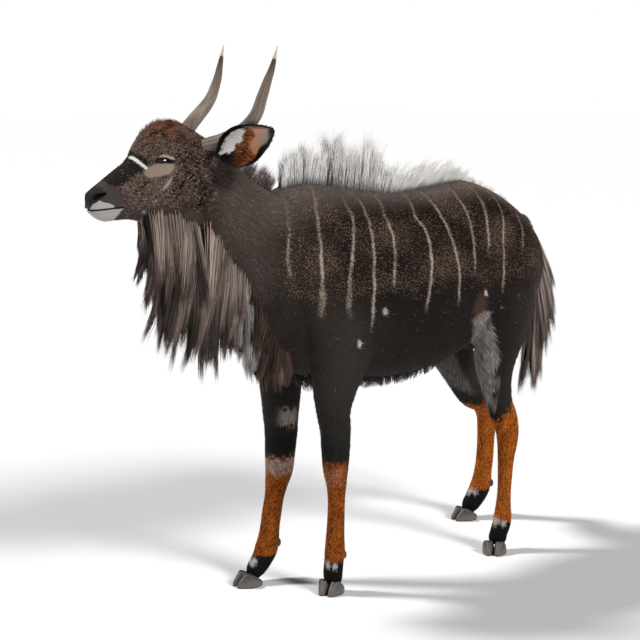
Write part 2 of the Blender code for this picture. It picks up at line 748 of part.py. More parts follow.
def horn(name):
    """A smooth tapering horn, first up to its full girth outside the skull."""
    curve = bpy.data.curves.new(name, "CURVE")
    curve.dimensions = "3D"
    curve.bevel_depth = 1.0
    curve.bevel_resolution = 2
    curve.use_fill_caps = True
    spline = curve.splines.new("POLY")
    path = along(HORNS[name], 13)
    spline.points.add(len(path) - 1)
    for number, (s, left, z) in enumerate(path):
        share = number / (len(path) - 1)
        spline.points[number].co = (*head_point(s, left, z), 1.0)
        taper = HORN_BASE_RADIUS * (1 - share**1.25) ** 0.85
        spline.points[number].radius = max(taper, HORN_TIP_RADIUS)
    obj = bpy.data.objects.new(name, curve)
    HELPERS.objects.link(obj)
    graph = bpy.context.evaluated_depsgraph_get()
    mesh = bpy.data.meshes.new_from_object(obj.evaluated_get(graph))
    welded = bmesh.new()
    welded.from_mesh(mesh)
    bmesh.ops.remove_doubles(welded, verts=welded.verts[:], dist=0.00005)
    bmesh.ops.recalc_face_normals(welded, faces=welded.faces[:])
    welded.to_mesh(mesh)
    welded.free()
    remove(obj)
    solid = bpy.data.objects.new(name, mesh)
    PARTS.objects.link(solid)
    return solid


def ear(name, rows=9, columns=8):
    """A leaf-shaped cup that starts as a funnel at the skull and flattens to its tip."""
    base, tip, aim = EARS[name]
    base, tip = head_point(*base), head_point(*tip)
    axis = tip - base
    length = np.linalg.norm(axis)
    axis /= length
    opening = head_point(*aim) - HEAD_AT
    opening -= axis * (opening @ axis)
    opening /= np.linalg.norm(opening)
    across = np.cross(axis, opening)
    shares = [0.0, 0.12, 0.28, 0.46, 0.64, 0.80, 0.92, 1.0]
    radii = [0.016, 0.022, 0.034, 0.050, 0.059, 0.059, 0.053, 0.046]
    swings = [140.0, 122.0, 100.0, 80.0, 64.0, 48.0, 30.0, 4.0]
    points, faces = [], []
    for u in np.linspace(0.0, 1.0, rows):
        radius = np.interp(u, shares, radii)
        swing = math.radians(np.interp(u, shares, swings))
        spine = base + axis * (length * (u - 0.04)) - opening * (0.006 * math.sin(math.pi * u))
        for v in np.linspace(-1.0, 1.0, columns):
            turn = swing * v
            out = opening * (1 - math.cos(turn)) + across * math.sin(turn)
            points.append(spine + out * radius)
    for row in range(rows - 1):
        for k in range(columns - 1):
            a = row * columns + k
            faces.append((a, a + 1, a + columns + 1, a + columns))
    obj = mesh_object(name, points, faces, PARTS)
    shell = obj.modifiers.new("shell", "SOLIDIFY")
    shell.thickness = EAR_THICKNESS
    shell.offset = 0.0
    apply_modifiers(obj)
    return facing_out(obj)


def claw_frame(foot):
    x, y, heading = FEET[foot]
    turn = math.radians(heading)
    forward = np.array([-math.cos(turn), math.sin(turn), 0.0])
    left = np.array([-math.sin(turn), -math.cos(turn), 0.0])
    return np.array([x, y, 0.0]), forward, left


def claw_side(foot, side):
    return "outer" if (side > 0) == foot.endswith("left") else "inner"


def claw(foot, side):
    """One of a foot's two hooves: flat below, pointed ahead, its coronet falling to a low heel."""
    centre, forward, left = claw_frame(foot)
    points = []
    levels = ((0.0, 0.50, -0.50, 1.0), (0.012, 0.47, -0.50, 1.0), (0.026, 0.33, -0.25, 0.92))
    for height, toe, heel, broad in (*levels, (CLAW_HEIGHT, 0.20, -0.02, 0.70)):
        middle, reach = 0.5 * (toe + heel) * CLAW_LENGTH, 0.5 * (toe - heel) * CLAW_LENGTH
        for angle in np.linspace(0, 2 * math.pi, 10, endpoint=False):
            to_toe = max(math.cos(angle), 0.0)
            beside = 0.5 * CLAW_WIDTH * broad * math.sin(angle) * (1.0 - 0.30 * to_toe)
            inward = side * 0.005 * to_toe * toe / 0.5
            point = centre + forward * (middle + reach * math.cos(angle))
            points.append(point + left * (side * CLAW_SPREAD + beside - inward) + UP * height)
    return make_part(hull("claw", points), f"hoof_{foot}_{claw_side(foot, side)}")


def cleft(foot):
    """The slot between a foot's two hooves, deepest in front."""
    centre, forward, left = claw_frame(foot)
    points = []
    for ahead, top in ((-0.055, 0.018), (0.012, CLAW_HEIGHT), (0.060, CLAW_HEIGHT)):
        for beside in (-CLEFT_HALF_WIDTH, CLEFT_HALF_WIDTH):
            for height in (-0.01, top):
                points.append(centre + forward * ahead + left * beside + UP * height)
    return hull("cleft", points)


def dewclaw(foot, side, leg_surface):
    centre, forward, left = claw_frame(foot)
    leg = LEGS["leg_" + foot]
    fetlock = min(leg, key=lambda station: abs(station[2] - 0.106))
    middle = np.array(fetlock[:3])
    aim = -forward + left * side * 0.75
    aim /= np.linalg.norm(aim)
    outside = Vector(middle + aim * 0.08)
    hit = leg_surface.ray_cast(outside, Vector(-aim))[0]
    at = np.array(hit) - UP * 0.008 - aim * 0.002
    obj = ellipsoid("dewclaw", tuple(at), DEWCLAW_RADII, 7, 5)
    return make_part(obj, f"dewclaw_{foot}_{claw_side(foot, side)}")


def mouth_path(surface, lift=0.0):
    """Points on the muzzle's skin from one mouth corner round its front to the other."""
    points = []
    for share in np.linspace(-1.0, 1.0, 13):
        back = abs(share)
        s = 0.284 - 0.082 * back**1.35
        z = 1.0605 + lift + 0.003 * back - 0.004 * math.sin(math.pi * back)
        aim = HEAD_LEFT * math.copysign(min(1.0, back * 2.2), share)
        aim = aim + HEAD_FORWARD * (1.0 - back) ** 2
        aim /= np.linalg.norm(aim)
        middle = head_point(s - 0.030 * (1 - back), 0.0, z)
        hit = surface.ray_cast(Vector(middle + aim * 0.12), Vector(-aim))[0]
        points.append(np.array(hit))
    return points


def thin_tube(name, points, radius, sides=5, taper=0.35):
    """A tube along the points that narrows to both its ends."""
    points = np.array(points)
    tangent = np.gradient(points, axis=0)
    tangent /= np.linalg.norm(tangent, axis=1)[:, None]
    rings = []
    for number, (middle, way) in enumerate(zip(points, tangent)):
        share = number / (len(points) - 1)
        size = radius * (taper + (1 - taper) * math.sin(math.pi * share) ** 0.5)
        across = np.cross(way, UP)
        across /= np.linalg.norm(across)
        rise = np.cross(across, way)
        angles = np.linspace(0, 2 * math.pi, sides, endpoint=False)
        rings.append([middle + (across * math.cos(a) + rise * math.sin(a)) * size for a in angles])
    return facing_out(helper(name, *loft(rings)))


def eye_cutter(side):
    """The almond between the lids, pushed out from the eye's middle."""
    centre = head_point(EYE_AT[0], side * EYE_AT[1], EYE_AT[2])
    inner, outer = [], []
    for angle in np.linspace(0, 2 * math.pi, 12, endpoint=False):
        long = LID_HALF_LENGTH * math.cos(angle)
        tall = LID_HALF_HEIGHT * math.copysign(abs(math.sin(angle)) ** 1.2, math.sin(angle))
        spot = centre + HEAD_FORWARD * long + UP * (tall - 0.12 * long)
        inner.append(spot)
        outer.append(spot + HEAD_LEFT * side * 0.06)
    return facing_out(helper("almond", *loft([inner, outer])))


def finish_head(head):
    """Lids, lips, mouth line, nostrils and eye sockets on the parted head."""
    surface = surface_of(head)
    pieces = []
    for side in (-1, 1):
        eye_at = tuple(head_point(EYE_AT[0], side * EYE_AT[1], EYE_AT[2]))
        lid = EYE_RADIUS + LID_THICKNESS
        pieces.append(ellipsoid("lid", eye_at, (lid, lid, lid * 0.92), 14, 9))
        brow = [head_point(EYE_AT[0] + d, side * (0.055 - 5 * d * d), 1.202 - 8 * d * d)
                for d in np.linspace(-0.028, 0.028, 7)]
        pieces.append(thin_tube("brow", brow, 0.0105))
        rim = head_point(0.2665, side * 0.0255, 1.0985)
        pieces.append(ellipsoid("nostril_rim", tuple(rim), (0.0125, 0.011, 0.010), 10, 6))
    pieces.append(thin_tube("upper_lip", mouth_path(surface, 0.0052), 0.0050))
    pieces.append(thin_tube("lower_lip", mouth_path(surface, -0.0058), 0.0048))
    union_all(head, pieces)
    keep_largest(head)
    cutters = [thin_tube("mouth_line", mouth_path(surface_of(head)), 0.0022)]
    for side in (-1, 1):
        eye_at = tuple(head_point(EYE_AT[0], side * EYE_AT[1], EYE_AT[2]))
        cutters.append(ellipsoid("socket", eye_at, (EYE_RADIUS + GAP,) * 3, 14, 9))
        cutters.append(eye_cutter(side))
        nostril = head_point(0.2690, side * 0.0330, 1.0965)
        cutters.append(ellipsoid("nostril", tuple(nostril), (0.0095, 0.0095, 0.0045), 10, 6))
    for cutter in cutters:
        boolean(head, cutter, "DIFFERENCE")
    remove(*cutters)
    keep_largest(head)


def parted(source, name, region):
    """The share of the body inside a region, as a node of its own."""
    piece = bpy.data.objects.new(name, source.data.copy())
    PARTS.objects.link(piece)
    boolean(piece, region, "INTERSECT")
    keep_largest(piece)
    return piece


def dock_rings(room=0.0):
    """The dock's skin, or with room round it and past its root, the hole that it sits in."""
    stations = [(x, 0.0, z, radius + room, radius + room) for x, z, radius in DOCK]
    rings = tube_rings(stations, 12, 10)
    rings[0] = rings[0] - np.array([2 * room, 0.0, 0.0])
    return rings


def tail_locks(draw):
    """Tiers down the dock, each spread to the sides and behind, the longest at the end."""
    dock = along([(x, 0.0, z) for x, z, _ in DOCK], 40)
    locks = []
    tiers = (
        (0.30, 0.230, 0.050, 45, 2),
        (0.36, 0.300, 0.045, 92, 4),
        (0.58, 0.300, 0.035, 112, 4),
        (0.84, 0.320, 0.020, 112, 4),
    )
    for start, length, bulge, spread, count in tiers:
        for number in range(count):
            angle = math.radians(spread * (2 * (number + 0.5) / count - 1))
            place = start + draw.uniform(-0.05, 0.05)
            root = dock[int(place * 39)]
            out = np.array([math.cos(angle), math.sin(angle), 0.0])
            low = max(root[2] - length * draw.uniform(0.85, 1.05), TAIL_LOW_Z)
            narrow = np.clip((low - TAIL_LOW_Z) / 0.12, 0.25, 1.0)
            middle = TAIL_HAIR_X - 0.045 * np.clip((0.56 - low) / 0.15, 0.0, 1.0)
            tip = np.array([middle, 0.0, low]) + out * TAIL_HAIR_HALF_BREADTH * 0.85 * narrow
            bend = root * 0.55 + tip * 0.45 + out * bulge
            wide = np.cross(out, UP)
            locks.append(lock(root - UP * 0.004, bend, tip, 0.058, 0.013, wide))
    return locks


def centred(objects):
    """Brings the middle of the whole animal's box over the origin, with its soles at z = 0."""
    low = np.full(3, np.inf)
    high = np.full(3, -np.inf)
    for obj in objects:
        points = np.array([v.co for v in obj.data.vertices])
        low = np.minimum(low, points.min(axis=0))
        high = np.maximum(high, points.max(axis=0))
    middle = (low + high) / 2
    for obj in objects:
        for vertex in obj.data.vertices:
            vertex.co.x -= middle[0]
            vertex.co.y -= middle[1]


def finish_materials():
    for obj in PARTS.objects:
        kind = "coat_dark"
        if obj.name.startswith("head"):
            kind = "coat_head"
        elif obj.name.startswith("leg"):
            kind = "coat_leg"
        elif obj.name.startswith("tail"):
            kind = "hair_tail"
        elif obj.name.startswith("horn"):
            kind = "horn"
        elif obj.name.startswith(("hoof", "dewclaw")):
            kind = "hoof"
        elif obj.name.startswith("eye"):
            kind = "eye"
        elif obj.name.startswith("ear"):
            kind = "ear"
        obj.data.materials.clear()
        obj.data.materials.append(make_material(kind))
        if kind in ("horn", "eye"):
            obj.data.shade_smooth()


def body_hair(surface, draw):
    """The crest, nape tuft, throat fringe and belly fringe that grow from neck and torso."""
    under = (0.0, 1.0, 0.0)
    throat = tuple(-HEAD_LEFT)
    sides = (-1.0, 0.0, 1.0)
    locks = upright_locks(CREST, 26, 0.066, 0.011, surface, draw)
    locks += hanging_locks(BELLY, np.linspace(0, 1, 10), (0.0,), 0.060, surface, draw, under)
    locks += hanging_locks(RUFF, (0.90, 0.96), (-0.7, 0.7), 0.044, surface, draw, under)
    locks += hanging_locks(RUFF, np.linspace(0.42, 0.77, 6), sides, 0.058, surface, draw, throat)
    for number in range(7):
        root, tip, half = row_at(NAPE, number / 6)
        side = 1 if number % 2 else -1
        near = surface.find_nearest(Vector(root))
        start = np.array(near[0]) - np.array(near[1]) * 0.012
        start[1] += side * half * 0.5
        bend = start * 0.5 + tip * 0.5 + UP * 0.010
        locks.append(lock(start, bend, tip, 0.028, 0.010, (1.0, 0.2 * side, 0.4)))
    return locks


def part_body(draw):
    """Fuses the body, grows its long hair and parts it into head, neck, torso and legs."""
    body = fused_body()
    coarse = thinned(body, "coarse", BODY_TRIANGLES)
    fine = thinned(body, "fine", HEAD_TRIANGLES)
    remove(body)
    chin = hanging_locks(
        RUFF, (0.02, 0.09, 0.17, 0.25, 0.32), (-0.8, 0.8), 0.044, surface_of(fine), draw, tuple(-HEAD_LEFT)
    )
    union_all(fine, chin)
    region = head_region()
    head = parted(fine, "head", region)
    remove(region, fine)

    floor = slab("below_ankles", -1.0, 1.0, LEG_END_Z)
    boolean(coarse, floor, "INTERSECT")
    remove(floor)
    trunk = duplicate(coarse, "trunk")
    union_all(trunk, body_hair(surface_of(coarse), draw))
    legs = {}
    for name in LEGS:
        region = leg_region(name)
        legs[name] = parted(coarse, name, region)
        remove(region)
        region = leg_region(name, CUT_GAP)
        boolean(trunk, region, "DIFFERENCE")
        remove(region)
    region = head_region(CUT_GAP)
    boolean(trunk, region, "DIFFERENCE")
    keep_largest(trunk)
    front = slab("front", -1.2, NECK_BASE_X)
    back = slab("back", NECK_BASE_X + GAP, 1.2)
    neck = parted(trunk, "neck", front)
    torso = parted(trunk, "torso", back)
    remove(region, coarse, front, back, trunk)
    dock_room = facing_out(helper("dock_room", *loft(dock_rings(CUT_GAP))))
    boolean(torso, dock_room, "DIFFERENCE")
    remove(dock_room)
    keep_largest(torso)
    return head, neck, legs


def make_part(obj, name):
    """Takes a helper's shape as one of the animal's own pieces."""
    obj.name = name
    HELPERS.objects.unlink(obj)
    PARTS.objects.link(obj)
    obj.hide_render = False
    obj.display_type = "TEXTURED"
    return obj


def build():
    draw = random.Random(7)
    head, neck, legs = part_body(draw)
    finish_head(head)
    head_room = grown(head, GAP * 1.5)
    neck_room = grown(neck, GAP * 1.5)
    for side, ending in ((1, "left"), (-1, "right")):
        eye_at = tuple(head_point(EYE_AT[0], side * EYE_AT[1], EYE_AT[2]))
        make_part(ellipsoid("eye", eye_at, (EYE_RADIUS,) * 3, 14, 9), "eye_" + ending)
        horn_piece, ear_piece = horn("horn_" + ending), ear("ear_" + ending)
        horn_room = grown(horn_piece, GAP * 1.5)
        boolean(ear_piece, horn_room, "DIFFERENCE")
        remove(horn_room)
        for piece in (horn_piece, ear_piece):
            boolean(piece, head_room, "DIFFERENCE")
            boolean(piece, neck_room, "DIFFERENCE")
            keep_largest(piece)
    remove(head_room, neck_room)

    for foot in FEET:
        leg = legs["leg_" + foot]
        leg_surface = surface_of(leg)
        for side in (1, -1):
            for piece in (claw(foot, side), dewclaw(foot, side, leg_surface)):
                room = grown(piece, GAP * 2)
                boolean(leg, room, "DIFFERENCE")
                remove(room)
        slot = cleft(foot)
        boolean(leg, slot, "DIFFERENCE")
        remove(slot)
        keep_largest(leg)

    tail = facing_out(mesh_object("tail", *loft(dock_rings()), PARTS))
    union_all(tail, tail_locks(draw))
    keep_largest(tail)
    centred(PARTS.objects)
    finish_materials()


clear_scene()
PARTS = make_collection("nyala")
HELPERS = make_collection("cutters")
build()
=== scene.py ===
"""A lowland nyala bull standing still: its skin, coat, horns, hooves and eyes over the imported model.

Metres, +Z up. The animal faces -X with its left side towards -Y. Shapes are worked out in the
frame in which the body's sections are given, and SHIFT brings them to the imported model's frame.
"""

import math

import bmesh
import bpy
import numpy as np
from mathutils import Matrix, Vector
from mathutils.bvhtree import BVHTree
from mathutils.kdtree import KDTree


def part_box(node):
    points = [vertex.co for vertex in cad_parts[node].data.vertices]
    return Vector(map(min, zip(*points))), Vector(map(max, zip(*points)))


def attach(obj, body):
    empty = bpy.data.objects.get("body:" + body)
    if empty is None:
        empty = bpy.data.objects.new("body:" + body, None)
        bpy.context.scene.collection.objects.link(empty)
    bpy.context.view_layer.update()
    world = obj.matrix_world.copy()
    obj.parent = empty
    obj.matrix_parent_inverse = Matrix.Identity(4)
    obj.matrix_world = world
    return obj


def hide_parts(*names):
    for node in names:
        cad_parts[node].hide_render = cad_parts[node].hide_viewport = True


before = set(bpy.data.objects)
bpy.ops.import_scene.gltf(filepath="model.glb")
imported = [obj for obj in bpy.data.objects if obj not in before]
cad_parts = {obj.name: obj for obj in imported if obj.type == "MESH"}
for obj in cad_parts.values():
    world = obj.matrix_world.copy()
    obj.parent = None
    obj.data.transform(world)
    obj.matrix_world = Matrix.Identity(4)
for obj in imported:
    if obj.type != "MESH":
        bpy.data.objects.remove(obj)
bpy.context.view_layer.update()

UP = np.array([0.0, 0.0, 1.0])
# Draws for the fur and the crest. Every other part has draws of its own.
DRAW = np.random.default_rng(11)

# The head's own frame: s runs forward from the poll, l to the animal's left, z up.
HEAD_AT = np.array([-0.631, 0.050, 0.0])
HEAD_YAW = math.radians(19.5)
HEAD_FORWARD = np.array([-math.cos(HEAD_YAW), math.sin(HEAD_YAW), 0.0])
HEAD_LEFT = np.array([-math.sin(HEAD_YAW), -math.cos(HEAD_YAW), 0.0])
# From the poll forward, only the head lies above this height.
HEAD_Z = 1.0
# The crown's longer hair begins between these heights.
CROWN_Z = (1.215, 1.245)

# The eye node's middle, the middle of the opening between the lids as s and z, and the ball's radii.
EYE_AT = (0.107, 0.055, 1.183)
EYE_OPENING = (0.1125, 1.1825)
EYE_RADII = (0.0165, 0.0080, 0.0125)

# Torso sections: x, top z, bottom z, z of the widest line, half width, roundness.
TORSO = [
    (-0.500, 0.960, 0.760, 0.860, 0.050, 2.0),
    (-0.470, 1.045, 0.680, 0.850, 0.095, 2.0),
    (-0.410, 1.094, 0.620, 0.830, 0.125, 2.1),
    (-0.340, 1.110, 0.590, 0.800, 0.148, 2.2),
    (-0.250, 1.104, 0.570, 0.790, 0.163, 2.2),
    (-0.140, 1.084, 0.555, 0.780, 0.178, 2.2),
    (-0.010, 1.069, 0.546, 0.775, 0.190, 2.2),
    (0.110, 1.075, 0.552, 0.780, 0.192, 2.2),
    (0.210, 1.084, 0.575, 0.800, 0.186, 2.2),
    (0.300, 1.088, 0.610, 0.830, 0.176, 2.2),
    (0.380, 1.066, 0.650, 0.850, 0.163, 2.2),
    (0.450, 1.036, 0.690, 0.860, 0.145, 2.1),
    (0.520, 0.998, 0.735, 0.865, 0.118, 2.0),
    (0.570, 0.962, 0.780, 0.870, 0.086, 2.0),
    (0.600, 0.925, 0.825, 0.875, 0.045, 2.0),
]

# Neck sections along its axis: centre x, y, z, half width, half depth.
NECK = [
    (-0.340, 0.000, 0.880, 0.120, 0.190),
    (-0.430, 0.004, 0.938, 0.108, 0.166),
    (-0.500, 0.018, 1.000, 0.094, 0.125),
    (-0.555, 0.032, 1.062, 0.084, 0.100),
    (-0.605, 0.044, 1.125, 0.076, 0.088),
    (-0.640, 0.055, 1.170, 0.060, 0.070),
]

# Head sections: s, top z, bottom z, z of the widest line, half width, roundness.
HEAD = [
    (-0.085, 1.185, 1.085, 1.140, 0.045, 2.0),
    (-0.050, 1.218, 1.055, 1.145, 0.062, 2.1),
    (0.000, 1.250, 1.040, 1.155, 0.070, 2.2),
    (0.040, 1.271, 1.030, 1.160, 0.073, 2.2),
    (0.080, 1.278, 1.026, 1.165, 0.073, 2.2),
    (0.110, 1.275, 1.025, 1.165, 0.068, 2.2),
    (0.140, 1.254, 1.025, 1.155, 0.059, 2.2),
    (0.165, 1.226, 1.028, 1.135, 0.049, 2.2),
    (0.190, 1.183, 1.032, 1.110, 0.043, 2.2),
    (0.220, 1.158, 1.032, 1.095, 0.038, 2.3),
    (0.250, 1.135, 1.030, 1.083, 0.036, 2.4),
    (0.275, 1.116, 1.042, 1.080, 0.033, 2.4),
    (0.291, 1.104, 1.062, 1.083, 0.022, 2.2),
]

# Leg sections from the body down: centre x, y, z, half width across, half width fore and aft.
LEGS = {
    "leg_front_left": [
        (-0.300, -0.105, 0.800, 0.055, 0.120),
        (-0.283, -0.118, 0.680, 0.058, 0.110),
        (-0.297, -0.113, 0.590, 0.055, 0.084),
        (-0.299, -0.105, 0.506, 0.047, 0.056),
        (-0.292, -0.105, 0.452, 0.044, 0.049),
        (-0.290, -0.104, 0.397, 0.040, 0.045),
        (-0.289, -0.103, 0.343, 0.035, 0.039),
        (-0.285, -0.102, 0.300, 0.028, 0.031),
        (-0.284, -0.101, 0.250, 0.024, 0.0265),
        (-0.286, -0.100, 0.180, 0.025, 0.0275),
        (-0.288, -0.100, 0.137, 0.027, 0.030),
        (-0.289, -0.100, 0.110, 0.028, 0.032),
        (-0.292, -0.100, 0.088, 0.027, 0.030),
        (-0.293, -0.098, 0.062, 0.028, 0.029),
        (-0.291, -0.095, 0.038, 0.028, 0.026),
        (-0.287, -0.092, 0.020, 0.020, 0.018),
    ],
    "leg_front_right": [
        (-0.300, 0.105, 0.800, 0.055, 0.120),
        (-0.275, 0.118, 0.680, 0.058, 0.100),
        (-0.292, 0.110, 0.590, 0.056, 0.078),
        (-0.301, 0.102, 0.485, 0.051, 0.061),
        (-0.302, 0.100, 0.415, 0.046, 0.053),
        (-0.306, 0.100, 0.360, 0.042, 0.048),
        (-0.309, 0.101, 0.310, 0.038, 0.043),
        (-0.316, 0.103, 0.275, 0.032, 0.037),
        (-0.323, 0.105, 0.237, 0.027, 0.031),
        (-0.331, 0.107, 0.193, 0.027, 0.031),
        (-0.337, 0.109, 0.150, 0.027, 0.031),
        (-0.341, 0.111, 0.115, 0.0285, 0.035),
        (-0.349, 0.112, 0.088, 0.030, 0.037),
        (-0.364, 0.112, 0.064, 0.029, 0.033),
        (-0.388, 0.111, 0.040, 0.028, 0.029),
        (-0.404, 0.110, 0.020, 0.020, 0.018),
    ],
    "leg_hind_left": [
        (0.400, -0.085, 0.880, 0.075, 0.130),
        (0.380, -0.115, 0.760, 0.070, 0.125),
        (0.350, -0.128, 0.660, 0.062, 0.105),
        (0.335, -0.127, 0.580, 0.055, 0.082),
        (0.340, -0.122, 0.520, 0.048, 0.062),
        (0.352, -0.120, 0.467, 0.042, 0.050),
        (0.366, -0.120, 0.427, 0.038, 0.047),
        (0.382, -0.124, 0.387, 0.036, 0.046),
        (0.389, -0.128, 0.348, 0.034, 0.040),
        (0.387, -0.130, 0.310, 0.030, 0.034),
        (0.379, -0.133, 0.273, 0.0255, 0.029),
        (0.373, -0.136, 0.236, 0.0235, 0.0255),
        (0.363, -0.142, 0.175, 0.0215, 0.0235),
        (0.356, -0.145, 0.131, 0.024, 0.026),
        (0.352, -0.147, 0.103, 0.027, 0.030),
        (0.346, -0.148, 0.080, 0.028, 0.030),
        (0.335, -0.149, 0.060, 0.028, 0.028),
        (0.326, -0.149, 0.038, 0.028, 0.027),
        (0.322, -0.147, 0.020, 0.020, 0.018),
    ],
    "leg_hind_right": [
        (0.420, 0.085, 0.880, 0.075, 0.130),
        (0.400, 0.115, 0.760, 0.070, 0.125),
        (0.390, 0.130, 0.670, 0.062, 0.115),
        (0.416, 0.128, 0.580, 0.055, 0.095),
        (0.456, 0.124, 0.500, 0.050, 0.070),
        (0.515, 0.121, 0.432, 0.044, 0.070),
        (0.566, 0.121, 0.385, 0.037, 0.053),
        (0.586, 0.123, 0.340, 0.033, 0.040),
        (0.590, 0.126, 0.300, 0.030, 0.034),
        (0.592, 0.130, 0.250, 0.028, 0.031),
        (0.594, 0.135, 0.192, 0.028, 0.031),
        (0.593, 0.140, 0.150, 0.028, 0.032),
        (0.591, 0.144, 0.115, 0.030, 0.036),
        (0.583, 0.147, 0.088, 0.031, 0.038),
        (0.566, 0.149, 0.064, 0.030, 0.034),
        (0.546, 0.152, 0.040, 0.028, 0.029),
        (0.536, 0.154, 0.020, 0.020, 0.018),
    ],
}

# Muscles that round the joints of the lofts: centre, radii along x, y and z, mirrored across y.
MUSCLES = [
    ((-0.335, 0.100, 0.850), (0.105, 0.058, 0.165)),
    ((-0.290, 0.112, 0.680), (0.105, 0.055, 0.085)),
    ((0.415, 0.092, 0.830), (0.150, 0.078, 0.150)),
    ((0.370, 0.112, 0.700), (0.120, 0.066, 0.120)),
]

# The tail's fleshy dock: x, z, radius.
DOCK = [
    (0.560, 0.955, 0.020),
    (0.600, 0.950, 0.019),
    (0.635, 0.905, 0.017),
    (0.655, 0.840, 0.015),
    (0.662, 0.770, 0.012),
    (0.664, 0.700, 0.009),
    (0.662, 0.640, 0.006),
]
# The tail's long hair: its middle, half breadth and lowest point.
TAIL_HAIR_X = 0.684
TAIL_HAIR_HALF_BREADTH = 0.056
TAIL_LOW_Z = 0.405

# Long hair: root and tip along each row, and the row's half breadth.
RUFF = [
    ((-0.768, 0.102, 1.030), (-0.772, 0.100, 0.885), 0.022),
    ((-0.756, 0.097, 1.030), (-0.760, 0.096, 0.815), 0.034),
    ((-0.735, 0.088, 1.030), (-0.737, 0.090, 0.745), 0.042),
    ((-0.706, 0.077, 1.030), (-0.712, 0.080, 0.680), 0.048),
    ((-0.680, 0.067, 1.020), (-0.690, 0.070, 0.630), 0.052),
    ((-0.645, 0.052, 0.995), (-0.652, 0.052, 0.594), 0.054),
    ((-0.618, 0.040, 0.945), (-0.622, 0.038, 0.568), 0.056),
    ((-0.588, 0.026, 0.895), (-0.592, 0.026, 0.590), 0.056),
    ((-0.556, 0.012, 0.840), (-0.556, 0.012, 0.660), 0.054),
    ((-0.525, 0.005, 0.785), (-0.520, 0.005, 0.690), 0.046),
    ((-0.490, 0.000, 0.725), (-0.480, 0.000, 0.575), 0.036),
    ((-0.440, 0.000, 0.660), (-0.420, 0.000, 0.545), 0.028),
    ((-0.390, 0.000, 0.612), (-0.375, 0.000, 0.545), 0.022),
]
# How high the throat's long hair starts on the side: x and z.
RUFF_TOP = [
    (-0.800, 1.026), (-0.719, 1.030), (-0.696, 1.020), (-0.679, 1.012), (-0.632, 0.996), (-0.604, 0.961),
    (-0.572, 0.908), (-0.540, 0.873), (-0.514, 0.818), (-0.492, 0.762), (-0.460, 0.715), (-0.380, 0.660),
]
# Long hair below the trunk and on the nape, in the form of RUFF.
BRISKET = [
    ((-0.560, 0.030, 0.820), (-0.530, 0.030, 0.660), 0.040),
    ((-0.520, 0.020, 0.750), (-0.495, 0.020, 0.575), 0.040),
    ((-0.470, 0.010, 0.700), (-0.462, 0.015, 0.555), 0.036),
]
BELLY = [
    ((-0.330, 0.0, 0.590), (-0.315, 0.0, 0.542), 0.022),
    ((-0.230, 0.0, 0.568), (-0.210, 0.0, 0.520), 0.030),
    ((-0.120, 0.0, 0.555), (-0.100, 0.0, 0.520), 0.035),
    ((0.000, 0.0, 0.548), (0.020, 0.0, 0.515), 0.035),
    ((0.110, 0.0, 0.555), (0.130, 0.0, 0.523), 0.030),
    ((0.190, 0.0, 0.572), (0.205, 0.0, 0.548), 0.020),
]
NAPE = [
    ((-0.550, 0.030, 1.150), (-0.512, 0.024, 1.172), 0.012),
    ((-0.527, 0.024, 1.132), (-0.490, 0.020, 1.176), 0.014),
    ((-0.502, 0.018, 1.116), (-0.469, 0.014, 1.170), 0.014),
    ((-0.455, 0.008, 1.095), (-0.430, 0.006, 1.164), 0.012),
    ((-0.425, 0.004, 1.092), (-0.405, 0.004, 1.130), 0.010),
]

# The crest's outline, as x and z of its tips, and its half breadth as x and breadth.
CREST_TIPS = [
    (-0.395, 1.150), (-0.382, 1.206), (-0.361, 1.195), (-0.300, 1.224), (-0.264, 1.191),
    (-0.227, 1.243), (-0.182, 1.257), (-0.160, 1.225), (-0.129, 1.202), (-0.099, 1.212),
    (-0.068, 1.238), (-0.045, 1.227), (-0.029, 1.188), (-0.005, 1.159), (0.050, 1.150),
    (0.099, 1.158), (0.200, 1.156), (0.290, 1.150), (0.397, 1.123), (0.480, 1.070), (0.570, 1.005),
]
CREST_BREADTH = [(-0.40, 0.009), (-0.30, 0.015), (-0.17, 0.017), (0.0, 0.015), (0.4, 0.012), (0.6, 0.007)]

# Horn axis from the skull to the tip, one row each for the left and the right: s, l, z.
HORNS = {
    "horn_left": [
        (0.010, 0.030, 1.205),
        (-0.012, 0.040, 1.216),
        (-0.042, 0.054, 1.226),
        (-0.070, 0.074, 1.241),
        (-0.094, 0.098, 1.261),
        (-0.111, 0.128, 1.295),
        (-0.119, 0.146, 1.336),
        (-0.130, 0.154, 1.375),
        (-0.142, 0.158, 1.411),
        (-0.155, 0.161, 1.463),
    ],
    "horn_right": [
        (0.025, -0.030, 1.225),
        (0.008, -0.050, 1.250),
        (-0.010, -0.072, 1.264),
        (-0.040, -0.098, 1.286),
        (-0.069, -0.122, 1.308),
        (-0.093, -0.145, 1.330),
        (-0.106, -0.155, 1.352),
        (-0.117, -0.158, 1.381),
        (-0.124, -0.159, 1.412),
        (-0.136, -0.161, 1.468),
    ],
}
HORN_BASE_RADIUS = 0.0205
HORN_TAPER = 0.115
HORN_TIP_RADIUS = 0.0012

# Each ear: base and tip as s, l, z, and the way that its cup opens. The right one is laid back.
EARS = {
    "ear_left": ((-0.0442, 0.0658, 1.1914), (-0.1457, 0.1727, 1.2600), (0.40, 0.90, 0.10)),
    "ear_right": ((-0.040, -0.058, 1.185), (-0.185, -0.118, 1.190), (0.15, -0.90, -0.25)),
}
# The ear's section at shares of its length: radius, and half the turn of its cup in degrees.
EAR_SECTIONS = [
    (0.00, 0.0142, 140.0), (0.12, 0.0257, 131.0), (0.28, 0.0447, 92.0), (0.46, 0.0504, 91.0),
    (0.64, 0.0560, 55.0), (0.80, 0.0506, 39.0), (0.92, 0.0593, 17.0), (1.00, 0.0647, 3.0),
]
